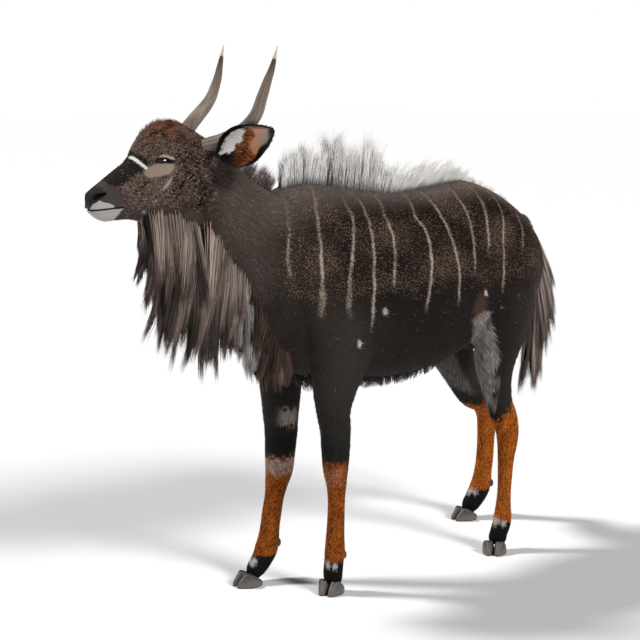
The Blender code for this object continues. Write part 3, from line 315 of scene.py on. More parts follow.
# Markings inside the ear, as share of its length and turn across its cup from -1 to 1.
EAR_ORANGE = [
    (0.58, -0.78), (0.70, -0.80), (0.70, -0.43), (0.67, -0.18), (0.59, -0.07), (0.54, 0.03),
    (0.52, 0.28), (0.58, 0.67), (0.52, 0.74), (0.43, 0.86), (0.33, 0.90), (0.20, 0.90),
    (0.05, 0.45), (0.15, 0.12), (0.22, 0.04), (0.30, -0.12), (0.39, -0.14), (0.41, -0.24), (0.50, -0.50),
]
EAR_BARE = [
    (0.70, -0.70), (0.80, -0.64), (0.92, -0.47), (0.90, -0.20), (0.86, 0.12), (0.80, 0.40), (0.72, 0.46),
    (0.65, 0.46), (0.60, 0.60), (0.56, 0.58), (0.52, 0.42), (0.51, 0.18), (0.53, 0.02), (0.59, -0.07),
    (0.66, -0.18), (0.68, -0.42),
]
EAR_GREY = [
    (0.80, -0.42), (0.89, -0.24), (0.88, 0.12), (0.90, 0.45), (0.81, 0.62), (0.72, 0.45), (0.72, 0.07),
]
EAR_WHITE = [
    (0.00, -0.28), (0.09, -0.44), (0.20, -0.55), (0.28, -0.62), (0.37, -0.66), (0.54, -0.70), (0.56, -0.50),
    (0.48, -0.38), (0.45, -0.22), (0.38, -0.16), (0.31, -0.18), (0.26, -0.06), (0.22, 0.02), (0.12, 0.02),
    (0.00, -0.12),
]
EAR_LIGHT_RIM = [(0.62, -0.82), (0.69, -0.80), (0.77, -0.78), (0.85, -0.70), (0.93, -0.53)]
EAR_THICKNESS = 0.0030

# Where each foot stands: toe-pair centre x, y and the way that it points, in degrees from -X.
FEET = {
    "front_left": (-0.302, -0.097, -22.0),
    "front_right": (-0.421, 0.110, 12.0),
    "hind_left": (0.306, -0.156, -33.0),
    "hind_right": (0.520, 0.155, 13.0),
}
CLAW_LENGTH = 0.076
CLAW_WIDTH = 0.0345
CLAW_HEIGHT = 0.038
CLAW_SPREAD = 0.0176
# A claw's outline from the sole up: height, toe and heel as shares of its length, share of its width.
CLAW_LEVELS = [
    (0.0, 0.470, -0.46, 0.94), (0.0012, 0.495, -0.49, 1.0), (0.006, 0.49, -0.50, 1.0),
    (0.012, 0.47, -0.50, 1.0), (0.019, 0.41, -0.40, 0.98), (0.026, 0.33, -0.25, 0.92),
    (0.033, 0.25, -0.12, 0.82), (CLAW_HEIGHT - 0.001, 0.20, -0.02, 0.66),
]

# White stripes on each side: x at each turn down from the back in degrees, and how bright each is.
STRIPES = [
    ([(4, -0.408), (23, -0.441), (42, -0.457), (59, -0.449)], 0.55),
    ([(6, -0.316), (20, -0.347), (38, -0.369), (58, -0.381), (107, -0.379)], 0.85),
    ([(19, -0.241), (32, -0.241), (46, -0.260), (68, -0.282), (107, -0.294)], 0.80),
    ([(16, -0.179), (32, -0.188), (48, -0.193), (68, -0.203), (119, -0.211)], 0.80),
    ([(12, -0.092), (31, -0.122), (45, -0.116), (64, -0.128), (84, -0.140)], 0.75),
    ([(9, 0.033), (33, -0.006), (49, 0.012), (68, 0.005), (87, -0.008), (106, -0.024)], 1.0),
    ([(10, 0.094), (25, 0.087), (43, 0.093), (61, 0.102), (83, 0.108), (104, 0.102)], 0.85),
    ([(0, 0.222), (20, 0.194), (37, 0.193), (55, 0.185), (82, 0.173)], 0.75),
    ([(16, 0.273), (26, 0.278), (45, 0.260), (66, 0.240)], 0.70),
    ([(16, 0.332), (26, 0.350), (36, 0.348), (59, 0.315), (101, 0.311)], 0.65),
    ([(33, 0.446), (50, 0.427), (68, 0.404)], 0.35),
]
STRIPE_AXIS_Z = 0.82
STRIPE_HALF_WIDTH = 0.0041

# White spots: x, |y|, z and radius.
SPOTS = [
    (-0.171, 0.173, 0.765, 0.010),
    (-0.266, 0.175, 0.690, 0.011),
    (0.225, 0.183, 0.779, 0.009),
    (0.255, 0.166, 0.714, 0.008),
    (0.368, 0.185, 0.760, 0.006),
    (0.300, 0.176, 0.731, 0.006),
    (0.129, 0.181, 0.894, 0.005),
]

# Coat colours as they look in soft light, red, green and blue from 0 to 255.
LOOKS = {
    "charcoal": (27, 23, 21),
    "charcoal_brown": (38, 30, 26),
    "grey_back": (120, 109, 102),
    "neck_grey": (86, 75, 69),
    "speck": (176, 146, 126),
    "face_speck": (192, 164, 148),
    "stripe": (226, 206, 188),
    "stripe_top": (172, 146, 124),
    "spot": (214, 208, 200),
    "belly": (31, 29, 27),
    "leg_black": (37, 35, 33),
    "leg_orange": (178, 94, 30),
    "orange_dark": (50, 22, 8),
    "pastern": (22, 20, 18),
    "leg_white": (224, 222, 216),
    "leg_pale": (204, 186, 174),
    "thigh_grey": (154, 146, 140),
    "crest": (240, 237, 233),
    "crest_root": (80, 72, 68),
    "crest_brown": (128, 106, 98),
    "nape": (150, 136, 130),
    "ruff_light": (156, 138, 128),
    "ruff_dark": (64, 53, 48),
    "chest": (84, 66, 58),
    "brisket": (206, 203, 200),
    "tail": (202, 183, 173),
    "tail_dark": (122, 108, 101),
    "cheek": (112, 92, 82),
    "cheek_dark": (24, 19, 17),
    "jaw": (78, 68, 63),
    "crown": (116, 72, 50),
    "crown_dark": (40, 26, 19),
    "crown_grey": (100, 92, 88),
    "reddish": (118, 86, 70),
    "bridge": (34, 32, 30),
    "muzzle": (66, 61, 58),
    "nose": (30, 28, 28),
    "black": (7, 6, 6),
    "tan": (148, 131, 115),
    "crease": (176, 155, 134),
    "chin": (163, 160, 154),
    "lip": (168, 166, 163),
    "chevron": (226, 224, 220),
    "ear_orange": (184, 106, 60),
    "ear_bare": (194, 142, 108),
    "ear_black": (24, 21, 19),
    "ear_white": (255, 250, 245),
    "ear_grey": (156, 148, 144),
    "ear_back": (58, 46, 40),
}

# Markings of the face seen from its side, as s and z, with colour, strength and softness of edge.
FACE_PATCHES = [
    ("bridge", 0.92, 0.004, [
        (0.270, 1.150), (0.252, 1.133), (0.240, 1.124), (0.224, 1.118), (0.210, 1.121), (0.196, 1.132),
        (0.180, 1.148), (0.160, 1.157), (0.148, 1.168), (0.150, 1.186), (0.160, 1.195), (0.176, 1.204),
        (0.200, 1.210), (0.240, 1.180),
    ]),
    ("reddish", 0.75, 0.003, [
        (0.151, 1.184), (0.146, 1.191), (0.135, 1.200), (0.124, 1.201), (0.123, 1.196), (0.130, 1.187),
        (0.141, 1.181), (0.149, 1.180),
    ]),
    ("muzzle", 1.0, 0.0012, [
        (0.310, 1.140), (0.262, 1.136), (0.250, 1.130), (0.242, 1.124), (0.233, 1.120), (0.221, 1.113),
        (0.215, 1.107), (0.211, 1.104), (0.208, 1.096), (0.210, 1.085), (0.209, 1.075), (0.206, 1.067),
        (0.206, 1.062), (0.310, 1.062),
    ]),
    ("nose", 0.80, 0.005, [
        (0.320, 1.120), (0.272, 1.122), (0.262, 1.117), (0.258, 1.111), (0.257, 1.104), (0.259, 1.095),
        (0.267, 1.087), (0.280, 1.080), (0.289, 1.073), (0.320, 1.060),
    ]),
    ("black", 1.0, 0.0012, [
        (0.284, 1.093), (0.278, 1.099), (0.266, 1.103), (0.250, 1.106), (0.251, 1.100), (0.264, 1.093),
        (0.274, 1.088), (0.282, 1.088),
    ]),
    ("crown_grey", 0.7, 0.003, [
        (0.079, 1.263), (0.060, 1.268), (0.042, 1.258), (0.015, 1.242), (0.021, 1.233), (0.044, 1.236),
        (0.063, 1.246), (0.079, 1.256),
    ]),
    ("tan", 0.95, 0.0035, [
        (0.157, 1.157), (0.149, 1.165), (0.137, 1.172), (0.125, 1.1745), (0.110, 1.176), (0.097, 1.175),
        (0.086, 1.174), (0.083, 1.166), (0.089, 1.156), (0.096, 1.148), (0.110, 1.145), (0.126, 1.142),
        (0.142, 1.138), (0.152, 1.142), (0.158, 1.150),
    ]),
    ("bridge", 0.85, 0.0018, [
        (0.162, 1.192), (0.152, 1.189), (0.148, 1.180), (0.128, 1.181), (0.129, 1.174), (0.148, 1.171),
        (0.155, 1.166), (0.166, 1.172),
    ]),
    ("black", 0.95, 0.0010, [
        (0.131, 1.183), (0.122, 1.1885), (0.109, 1.1895), (0.101, 1.187), (0.093, 1.183), (0.083, 1.181),
        (0.086, 1.178), (0.097, 1.1745), (0.110, 1.1765), (0.124, 1.177),
    ]),
    ("crease", 0.95, 0.0009, [
        (0.124, 1.191), (0.119, 1.195), (0.109, 1.1975), (0.098, 1.194), (0.087, 1.190), (0.081, 1.185),
        (0.087, 1.184), (0.097, 1.187), (0.105, 1.190), (0.113, 1.1915), (0.122, 1.190),
    ]),
    ("chin", 0.75, 0.004, [
        (0.118, 1.106), (0.110, 1.118), (0.099, 1.136), (0.090, 1.146), (0.091, 1.134), (0.102, 1.114),
    ]),
    ("chin", 0.45, 0.003, [(0.133, 1.080), (0.131, 1.086), (0.126, 1.086), (0.125, 1.079), (0.129, 1.077)]),
    ("chin", 0.45, 0.003, [(0.160, 1.053), (0.157, 1.060), (0.151, 1.058), (0.150, 1.051), (0.156, 1.048)]),
    ("lip", 1.0, 0.0010, [
        (0.289, 1.067), (0.286, 1.072), (0.284, 1.077), (0.276, 1.082), (0.267, 1.086), (0.262, 1.083),
        (0.254, 1.080), (0.245, 1.079), (0.236, 1.075), (0.231, 1.071), (0.232, 1.066), (0.260, 1.0645),
        (0.288, 1.063),
    ]),
    ("chin", 1.0, 0.0018, [
        (0.320, 1.060), (0.285, 1.0605), (0.260, 1.0610), (0.230, 1.0640), (0.206, 1.0640), (0.214, 1.057),
        (0.218, 1.048), (0.223, 1.042), (0.226, 1.032), (0.228, 1.000), (0.320, 1.000),
    ]),
]

# The white bar between the eyes: s, how far to the side, z.
CHEVRON = [(0.187, 0.006, 1.1915), (0.178, 0.027, 1.188), (0.166, 0.044, 1.176), (0.153, 0.053, 1.164)]
CHEVRON_HALF_WIDTH = 0.0044

# The line between the lips: s and z.
MOUTH_LINE = [(0.204, 1.0665), (0.231, 1.0655), (0.250, 1.0640), (0.269, 1.0622), (0.291, 1.0612)]

# The grey patch on the thigh: place fore and aft of the leg's middle, and height.
THIGH_PATCH = [
    (-0.190, 0.707), (-0.105, 0.630), (-0.100, 0.566), (-0.095, 0.498), (-0.085, 0.443), (-0.046, 0.418),
    (-0.041, 0.438), (-0.038, 0.475), (-0.036, 0.502), (-0.038, 0.537), (-0.038, 0.560), (-0.042, 0.586),
    (-0.056, 0.619), (-0.069, 0.657), (-0.086, 0.677), (-0.100, 0.700), (-0.098, 0.719), (-0.120, 0.716),
    (-0.135, 0.726), (-0.165, 0.718),
]

# The reddish patch over the stifle: x and z.
STIFLE_PATCH = [
    (0.168, 0.730), (0.177, 0.763), (0.200, 0.783), (0.226, 0.773), (0.239, 0.736), (0.225, 0.713),
    (0.189, 0.712),
]

# White spots on the fetlocks: x, y, z and radius.
FETLOCK_SPOTS = [
    (-0.321, -0.105, 0.085, 0.0085), (-0.309, -0.122, 0.081, 0.0080), (-0.405, 0.105, 0.065, 0.0105),
    (-0.398, 0.124, 0.065, 0.0090), (0.318, -0.146, 0.092, 0.0110), (0.331, -0.168, 0.088, 0.0080),
    (0.541, 0.152, 0.088, 0.0105), (0.546, 0.130, 0.088, 0.0080),
]

# Each leg's orange, in the order of LEGS: its top, how that rises to the rear, and its lower end.
ORANGE_TOP = [0.362, 0.352, 0.404, 0.374]
ORANGE_RISE = [0.00, 0.00, 0.90, 0.00]
PASTERN_TOP = [0.091, 0.078, 0.090, 0.092]

# The lids' rings from their edge outwards: half length, half height and rise over the skin.
LID_ROWS = [
    (0.0134, 0.0036, -0.0030), (0.0140, 0.0041, 0.0000), (0.0148, 0.0050, 0.0013), (0.0165, 0.0070, 0.0012),
    (0.0188, 0.0092, 0.0004), (0.0215, 0.0120, 0.0009), (0.0260, 0.0155, 0.0007), (0.0310, 0.0195, 0.0005),
    (0.0370, 0.0240, 0.0002), (0.0440, 0.0290, -0.0006),
]

# Colours of the horns from the skull to the tip, of the hooves from the sole to the coronet, and of
# the eyes from the pupil outwards.
HORN_COLOURS = [
    (0.00, (116, 104, 95)), (0.35, (146, 134, 123)), (0.60, (134, 122, 112)), (0.80, (112, 100, 91)),
    (0.885, (84, 70, 60)), (0.905, (92, 78, 68)), (0.917, (214, 204, 190)), (1.00, (222, 214, 202)),
]
HOOF_COLOURS = [(0.03, (40, 34, 30)), (0.12, (120, 109, 102)), (1.0, (70, 62, 58))]
EYE_COLOURS = [(0.45, (6, 5, 5)), (0.60, (20, 13, 10))]
FLOOR_COLOUR = (242, 242, 242)

# The unwrap that skin and coat share: each chart's corner, width and height in the unit square.
# They are the trunk, the neck, the head, the four legs, the dock and the two ears.
CHARTS = [
    (0.01, 0.56, 0.98, 0.43),
    (0.01, 0.29, 0.40, 0.26),
    (0.42, 0.29, 0.57, 0.26),
    (0.01, 0.01, 0.18, 0.27),
    (0.20, 0.01, 0.18, 0.27),
    (0.39, 0.01, 0.18, 0.27),
    (0.58, 0.01, 0.18, 0.27),
    (0.77, 0.01, 0.08, 0.27),
    (0.86, 0.01, 0.13, 0.13),
    (0.86, 0.15, 0.13, 0.13),
]
NECK_CHART, HEAD_CHART, LEG_CHART, DOCK_CHART, EAR_CHART = 1, 2, 3, 7, 8
# The legs have charts of their own up to this height.
LEG_CHART_Z = 0.62
# The side of the small patch that each hair takes up round its root.
TUFT_PATCH = 0.003

# How many hairs each part has, and how many locks they form.
FUR_TUFTS = 150000
FUR_PIECE_TUFTS = 45000
CREST_HAIRS, CREST_LOCKS = 15000, 150
RUFF_HAIRS, RUFF_LOCKS = 7400, 95
CHEST_HAIRS, CHEST_LOCKS = 2100, 34
BRISKET_HAIRS, BRISKET_LOCKS = 1000, 16
BELLY_HAIRS, BELLY_LOCKS = 2000, 140
NAPE_HAIRS, NAPE_LOCKS = 1000, 34
TAIL_HAIRS, TAIL_LOCKS = 6600, 95
EAR_HAIRS = 2900

# A hair's breadth at each point before its tip, by the number of those points.
STRAND_SHAPES = {1: [1.0], 2: [0.8, 1.0], 3: [0.75, 1.0, 0.7], 4: [0.7, 1.0, 0.95, 0.6]}

# The size of the cubes in which the skin is fused.
VOXEL = 0.005
# Below this height the legs' fur is short and dense.
SHANK_Z = 0.45

# The camera's view of the animal. The lens is 1700 pixels long where the picture is 640 wide.
VIEW_AZIMUTH = math.radians(43.5)
VIEW_ELEVATION = math.radians(8.8)
VIEW_TARGET = np.array([-0.249, 0.0, 0.732])
VIEW_DISTANCE = 4.60
SENSOR_MM = 36.0
LENS_MM = 1700.0 / 640.0 * SENSOR_MM

# Two soft suns: name, way towards it, strength and breadth in degrees.
SUNS = (("sun_right", (0.05, -0.78, 0.62), 2.25, 15.0), ("sun_left", (-0.40, 0.53, 0.75), 2.55, 9.0))
AMBIENT = 0.11
# The lamp whose glint the eyes mirror.
GLINT_SIZE = 1.1
GLINT_POWER = 450.0
GLINT_DISTANCE = 2.5
FLOOR_HALF = 30.0


def linear(colour):
    """The light that a surface gives back for a colour as it looks on a screen."""
    value = np.array(colour, float) / 255.0
    return np.where(value <= 0.04045, value / 12.92, ((value + 0.055) / 1.055) ** 2.4)


TONE = {name: linear(colour) for name, colour in LOOKS.items()}


def smooth(value, low, high):
    """Rises softly from 0 at low to 1 at high."""
    share = np.clip((value - low) / (high - low), 0.0, 1.0)
    return share * share * (3.0 - 2.0 * share)


def bell(value, middle, width, power=2):
    """1 at the middle, falling to 0 on both sides."""
    return np.exp(-(((value - middle) / width) ** power))


def between(first, second, share):
    """Values mixed by their share of the second."""
    return first * (1 - share) + second * share


def mixed(first, second, share):
    """Colours mixed by each point's share of the second."""
    return first + (second - first) * np.asarray(share)[..., None]


def unit(vectors):
    return vectors / np.maximum(np.linalg.norm(vectors, axis=-1, keepdims=True), 1e-9)


def across_way(way, vectors):
    """What is left of the vectors square to a way of length 1."""
    return vectors - way * np.sum(vectors * way, axis=-1, keepdims=True)


def ripple(points, size, seed):
    """Smooth noise of about -1 to 1 over points, with bumps of about the given size."""
    draw = np.random.default_rng(seed)
    total = np.zeros(len(points))
    for _ in range(7):
        way = unit(draw.normal(size=3)) * (2 * math.pi / (size * draw.uniform(0.7, 1.8)))
        total += np.sin(points @ way + draw.uniform(0, 2 * math.pi))
    return total / 3.0


def clouds(points, size, seed, gain=1.0):
    """The same noise, stronger and held between -1 and 1."""
    return np.clip(gain * ripple(points, size, seed), -1, 1)


def patch_share(a, b, corners, edge):
    """How far each point of a plane lies inside a closed outline, from 0 outside to 1 inside."""
    outline = np.array(corners, float)
    inside = np.zeros(len(a), bool)
    near = np.full(len(a), 1.0)
    for (a0, b0), (a1, b1) in zip(outline, np.roll(outline, -1, axis=0)):
        run, rise = a1 - a0, b1 - b0
        if rise:
            inside ^= ((b0 > b) != (b1 > b)) & (a < a0 + run * (b - b0) / rise)
        t = np.clip(((a - a0) * run + (b - b0) * rise) / (run * run + rise * rise), 0.0, 1.0)
        near = np.minimum(near, np.hypot(a - a0 - t * run, b - b0 - t * rise))
    return smooth(np.where(inside, near, -near), -edge, edge)


def stroke_share(places, line, half_width, edge):
    """How far each place lies in a stroke painted along a line, from 0 to 1."""
    line = np.array(line, float)
    near = np.full(len(places), 1.0)
    for start, run in zip(line[:-1], np.diff(line, axis=0)):
        t = np.clip((places - start) @ run / (run @ run), 0.0, 1.0)
        near = np.minimum(near, np.linalg.norm(places - start - t[:, None] * run, axis=1))
    return 1 - smooth(near, half_width - edge, half_width + edge)


def along(stations, rows):
    """A smooth curve through the stations, read at evenly spaced steps of the station count."""
    table = np.array(stations, float)
    ends = np.vstack([2 * table[0] - table[1], table, 2 * table[-1] - table[-2]])
    result = []
    for place in np.linspace(0.0, len(table) - 1.0, rows):
        i = min(int(place), len(table) - 2)
        t = place - i
        a, b, c, d = ends[i : i + 4]
        bend = (2 * a - 5 * b + 4 * c - d) * t * t + (3 * b - a - 3 * c + d) * t**3
        result.append(0.5 * (2 * b + (c - a) * t + bend))
    return np.array(result)


def head_point(s, left, z):
    """A place given in the head's own frame."""
    return HEAD_AT + HEAD_FORWARD * s + HEAD_LEFT * left + UP * z


def head_frame(points):
    """Each point's place forward from the poll and to the head's left."""
    away = points - HEAD_AT
    return away @ HEAD_FORWARD, away @ HEAD_LEFT


def head_share(points, low, high):
    """Rises from 0 to 1 between two places along the head."""
    return smooth(head_frame(points)[0], low, high) * (points[:, 2] > HEAD_Z)


def crown_share(points):
    """How far each point lies on the long-haired crown."""
    return smooth(points[:, 2], *CROWN_Z) * smooth(head_frame(points)[0], 0.03, 0.08)


def shank_share(points, reach):
    """Rises from 0 to 1 over the given reach down the lower legs."""
    return smooth(SHANK_Z - points[:, 2], 0.0, reach)


def trunk_turn(points):
    """Degrees down from the back round the trunk's axis, alike on both sides."""
    return np.degrees(np.arctan2(np.abs(points[:, 1]), points[:, 2] - STRIPE_AXIS_Z))


LOW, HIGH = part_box("eye_left")
SHIFT = 0.5 * (np.array(LOW) + np.array(HIGH)) - head_point(*EYE_AT)


def read(rows, key, width, kind=float):
    """A value of each of a mesh's vertices, edges or corners, as numpy rows."""
    values = np.empty(len(rows) * width, kind)
    rows.foreach_get(key, values)
    return values.reshape(-1, width)


def points_of(mesh):
    return read(mesh.vertices, "co", 3)


def normals_of(mesh):
    return read(mesh.vertex_normals, "vector", 3)


def corners_of(mesh):
    return read(mesh.loops, "vertex_index", 1, int).ravel()


def tree_of(points, mesh):
    """A search tree over a mesh's faces with its vertices at the given points."""
    return BVHTree.FromPolygons([Vector(p) for p in points], [tuple(p.vertices) for p in mesh.polygons])


def reworked(mesh, change):
    """Runs one editing step on a mesh."""
    work = bmesh.new()
    work.from_mesh(mesh)
    change(work)
    work.to_mesh(mesh)
    work.free()


def face_out(mesh):
    """Turns every face of the mesh's closed shells outwards."""
    reworked(mesh, lambda work: bmesh.ops.recalc_face_normals(work, faces=work.faces[:]))


def paint(mesh, tint):
    """Writes a colour at each of the mesh's vertices."""
    colours = mesh.color_attributes.new(name="tint", type="FLOAT_COLOR", domain="POINT")
    filled = np.concatenate([tint, np.ones((len(tint), 1))], axis=1)
    colours.data.foreach_set("color", filled.astype(np.float32).ravel())


def placed(name, data):
    """A new object in the scene."""
    obj = bpy.data.objects.new(name, data)
    bpy.context.scene.collection.objects.link(obj)
    return obj


def handed_in(obj, material, slot, *replaced):
    """Gives an object its material, hangs it from the root and hides the nodes that it stands for; its slot
    is not used.
    """
    obj.data.materials.clear()
    obj.data.materials.append(material)
    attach(obj, "root")
    if replaced:
        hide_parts(*replaced)
    return obj


def section(half_width, top, bottom, power, count):
    """A rounded outline as columns of places across and up: the power squares it off."""
    angle = np.linspace(0.0, 2 * math.pi, count, endpoint=False)
    cos, sin = np.cos(angle), np.sin(angle)
    across = half_width * np.sign(cos) * np.abs(cos) ** (2 / power)
    rise = np.where(sin > 0, top, bottom) * np.sign(sin) * np.abs(sin) ** (2 / power)
    return across[:, None], rise[:, None]


def loft(rings):
    """Points and faces of a closed skin over rings of equal count, with capped ends."""
    count = len(rings[0])
    points = np.concatenate(rings)
    faces = []
    for row in range(len(rings) - 1):
        for k in range(count):
            a = row * count + k
            b = row * count + (k + 1) % count
            faces.append((a, b, b + count, a + count))
    faces.append(tuple(reversed(range(count))))
    faces.append(tuple(range(len(points) - count, len(points))))
    return points, faces


def trunk_point(x, y, z):
    return np.concatenate([np.full_like(y, x), y, z], axis=1)


def upright_rings(stations, point, rows=60, count=48):
    """Rings of trunk or head, whose sections stand upright."""
    rings = []
    for place, top, bottom, wide, half, power in along(stations, rows):
        across, rise = section(half, top - wide, wide - bottom, power, count)
        rings.append(point(place, across, wide + rise))
    return rings


def tube_rings(stations, rows, count):
    """Oval rings square to a curved axis, the first radius across the body and the second along it."""
    table = along(stations, rows)
    tangent = unit(np.gradient(table[:, :3], axis=0))
    rings = []
    for (*middle, half_across, half_deep), way in zip(table, tangent):
        across = unit(np.array([0.0, 1.0, 0.0]) - way * way[1])
        a, b = section(half_across, half_deep, half_deep, 2.0, count)
        rings.append(middle + across * a + np.cross(way, across) * b)
    return rings


def ball(centre, radii, columns=28, rows=18):
    """An ellipsoid's points and faces, as rings from pole to pole."""
    rings = []
    angle = np.linspace(0.0, 2 * math.pi, columns, endpoint=False)
    for rise in np.linspace(-math.pi / 2 * 0.97, math.pi / 2 * 0.97, rows):
        ring = np.stack([np.cos(angle), np.sin(angle), np.full(columns, math.tan(rise))], -1)
        rings.append(np.array(centre) + ring * math.cos(rise) * np.array(radii))
    return loft(rings)


def relax(mesh, rounds, strength):
    """Evens the surface without shrinking it, as strongly at each point as strength says."""
    points = points_of(mesh)
    start, end = read(mesh.edges, "vertices", 2, int).T
    share = np.bincount(start, minlength=len(points)) + np.bincount(end, minlength=len(points))
    weight = strength(points)[:, None]
    for turn in range(rounds * 2):
        total = np.zeros_like(points)
        for axis in range(3):
            total[:, axis] += np.bincount(start, points[end, axis], len(points))
            total[:, axis] += np.bincount(end, points[start, axis], len(points))
        step = 0.50 if turn % 2 == 0 else -0.51
        points = points + step * weight * (total / share[:, None] - points)
    mesh.vertices.foreach_set("co", points.ravel())
    mesh.update()


def body_strength(points):
    """Full where the lofts meet the trunk, little on the lower legs and the head."""
    strength = np.clip((points[:, 2] - 0.40) / 0.25, 0.12, 1.0)
    ahead = head_frame(points)[0]
    return np.minimum(strength, np.clip(1.0 - (ahead + 0.06) / 0.08, 0.15, 1.0))


def near_head(points):
    return (head_frame(points)[0] > -0.045) & (points[:, 2] > HEAD_Z)


def near_features(points):
    """The muzzle and the surroundings of both eyes."""
    ahead, left = head_frame(points)
    eye = (np.hypot(ahead - EYE_AT[0], points[:, 2] - EYE_AT[2]) < 0.045) & (np.abs(left) > 0.03)
    return (points[:, 2] > HEAD_Z) & ((ahead > 0.185) | (eye & (ahead > 0)))


def refined(mesh, wanted, rounds):
    """Splits each face of the wanted area into four and evens it."""

    def split(work):
        work.verts.ensure_lookup_table()
        chosen = wanted(np.array([v.co for v in work.verts]))
        edges = [e for e in work.edges if chosen[e.verts[0].index] and chosen[e.verts[1].index]]
        bmesh.ops.subdivide_edges(work, edges=edges, cuts=1, use_grid_fill=True)

    reworked(mesh, split)
    relax(mesh, rounds, lambda points: 0.8 * wanted(points))


def face_features(points, normals):
    """Moves the face's skin for the mouth line, lips, nostrils and the groove of the nose."""
    ahead, left = head_frame(points)
    z = points[:, 2]
    mouth_end = smooth(ahead, 0.198, 0.212)
    off = z - np.interp(ahead, *np.array(MOUTH_LINE).T)
    # The groove between the lips, the upper lip and the lower one.
    move = -0.0046 * bell(off, 0, 0.0016) * mouth_end
    move += 0.0024 * bell(off, 0.0060, 0.0044) * mouth_end
    move += 0.0018 * bell(off, -0.0055, 0.0042) * mouth_end
    # A comma-shaped nostril that runs back and up from its wide front end.
    s = ahead - 0.2670
    h = z - 1.0970 + 0.33 * s
    on_side = smooth(np.abs(left), 0.010, 0.016)
    hole = np.exp(-((s / 0.0135) ** 4) - ((h / (0.0036 + 0.16 * np.clip(s + 0.01, 0, 0.02))) ** 4))
    rim = np.exp(-((s / 0.020) ** 4) - (((h - 0.001) / 0.0120) ** 4))
    move += (0.0034 * rim - 0.0120 * hole) * on_side
    move += -0.0018 * bell(left, 0, 0.0022) * smooth(ahead, 0.270, 0.284)
    return points + normals * move[:, None]


def eye_frame(side):
    """Middle of a flattened eye under its lids, and the ways out of the head and forward along it."""
    look = unit(HEAD_LEFT * side + 0.22 * HEAD_FORWARD)
    return head_point(0.1105, side * 0.0538, EYE_OPENING[1]), look, np.cross(UP, look) * side


def sockets(points):
    """Sinks the skin behind each eye's lids, which are a patch of their own over it."""
    ahead, left = head_frame(points)
    away = np.hypot((ahead - EYE_AT[0]) / 0.030, (points[:, 2] - EYE_AT[2]) / 0.024)
    result = points.copy()
    for side in (1, -1):
        depth = smooth(1.0 - away, 0.0, 0.45) * (left * side > 0.02)
        inward = np.minimum((left - side * (EYE_AT[1] - 0.002)) * side, 0.05)
        result -= HEAD_LEFT * (side * np.maximum(inward, 0) * depth)[:, None]
    return result


def coat_depth(points):
    """How far the skin lies inside the coat's outline: less on the face, least on the muzzle."""
    depth = between(0.0055, 0.0022, head_share(points, -0.02, 0.06))
    depth = between(depth, 0.0006, smooth(head_frame(points)[0], 0.18, 0.22))
    return between(depth, 0.0024, shank_share(points, 0.15))


def fused_skin():
    """One closed skin over trunk, neck, head, legs and dock, and a tree of it before the eyes sink in."""
    shells = [loft(upright_rings(TORSO, trunk_point)), loft(tube_rings(NECK, 32, 40))]
    shells.append(loft(upright_rings(HEAD, head_point)))
    shells += [loft(tube_rings(stations, 70, 28)) for stations in LEGS.values()]
    shells += [ball((x, side * y, z), radii) for (x, y, z), radii in MUSCLES for side in (-1, 1)]
    # Cheek and brow on each side, throat, stifle folds and dock.
    for side in (-1, 1):
        shells.append(ball(head_point(0.035, side * 0.042, 1.125), (0.055, 0.034, 0.065)))
        shells.append(ball(head_point(EYE_AT[0] - 0.002, side * 0.052, 1.200), (0.026, 0.016, 0.011)))
    shells.append(ball(head_point(0.020, 0.0, 1.045), (0.055, 0.045, 0.058)))
    shells.append(ball((0.370, 0.0, 0.640), (0.085, 0.075, 0.065)))
    shells.append(loft(tube_rings([(x, 0.0, z, radius, radius) for x, z, radius in DOCK], 24, 20)))
    points, faces = [], []
    for shell_points, shell_faces in shells:
        start = len(points)
        points += [tuple(p) for p in shell_points]
        faces += [tuple(start + i for i in face) for face in shell_faces]
    lofts = bpy.data.meshes.new("skin")
    lofts.from_pydata(points, [], faces)
    face_out(lofts)
    skin = placed("skin", lofts)
    remesh = skin.modifiers.new("fuse", "REMESH")
    remesh.mode = "VOXEL"
    remesh.voxel_size = VOXEL
    graph = bpy.context.evaluated_depsgraph_get()
    mesh = bpy.data.meshes.new_from_object(skin.evaluated_get(graph))
    skin.modifiers.clear()
    skin.data = mesh
    bpy.data.meshes.remove(lofts)
    relax(mesh, 32, body_strength)
    refined(mesh, near_head, 3)
    refined(mesh, near_features, 2)
    normals = normals_of(mesh)
    points = points_of(mesh)
    points = face_features(points - normals * coat_depth(points)[:, None], normals)
    face = tree_of(points, mesh)
    mesh.vertices.foreach_set("co", sockets(points).ravel())
    reworked(mesh, lambda work: bmesh.ops.triangulate(work, faces=work.faces[:]))
    mesh.update()
    return skin, face


def leg_of(points):
    """Which leg each point would belong to, in the order of LEGS."""
    return (points[:, 0] > 0.05) * 2 + (points[:, 1] > 0)


def leg_centre(points, leg):
    """The middle of the leg at each point's height, as x and y."""
    centre = np.zeros((len(points), 2))
    for number, stations in enumerate(LEGS.values()):
        table = np.array(stations)[::-1]
        mask = leg == number
        for axis in (0, 1):
            centre[mask, axis] = np.interp(points[mask, 2], table[:, 2], table[:, axis])
    return centre


def chart_of(points):
    """The number of the chart in which each point is unwrapped."""
    x, y, z = points.T
    chart = np.zeros(len(points), int)
    chart[x < -0.42] = NECK_CHART
    chart[(head_frame(points)[0] > -0.06) & (z > HEAD_Z)] = HEAD_CHART
    legs = (z < LEG_CHART_Z) & (x > -0.47) & ((x < -0.16) | (x > 0.2)) & (np.abs(y) > 0.03)
    chart[legs] = LEG_CHART + leg_of(points)[legs]
    chart[(x > 0.600) & (z > LEG_CHART_Z) & (z < 0.94)] = DOCK_CHART
    return chart


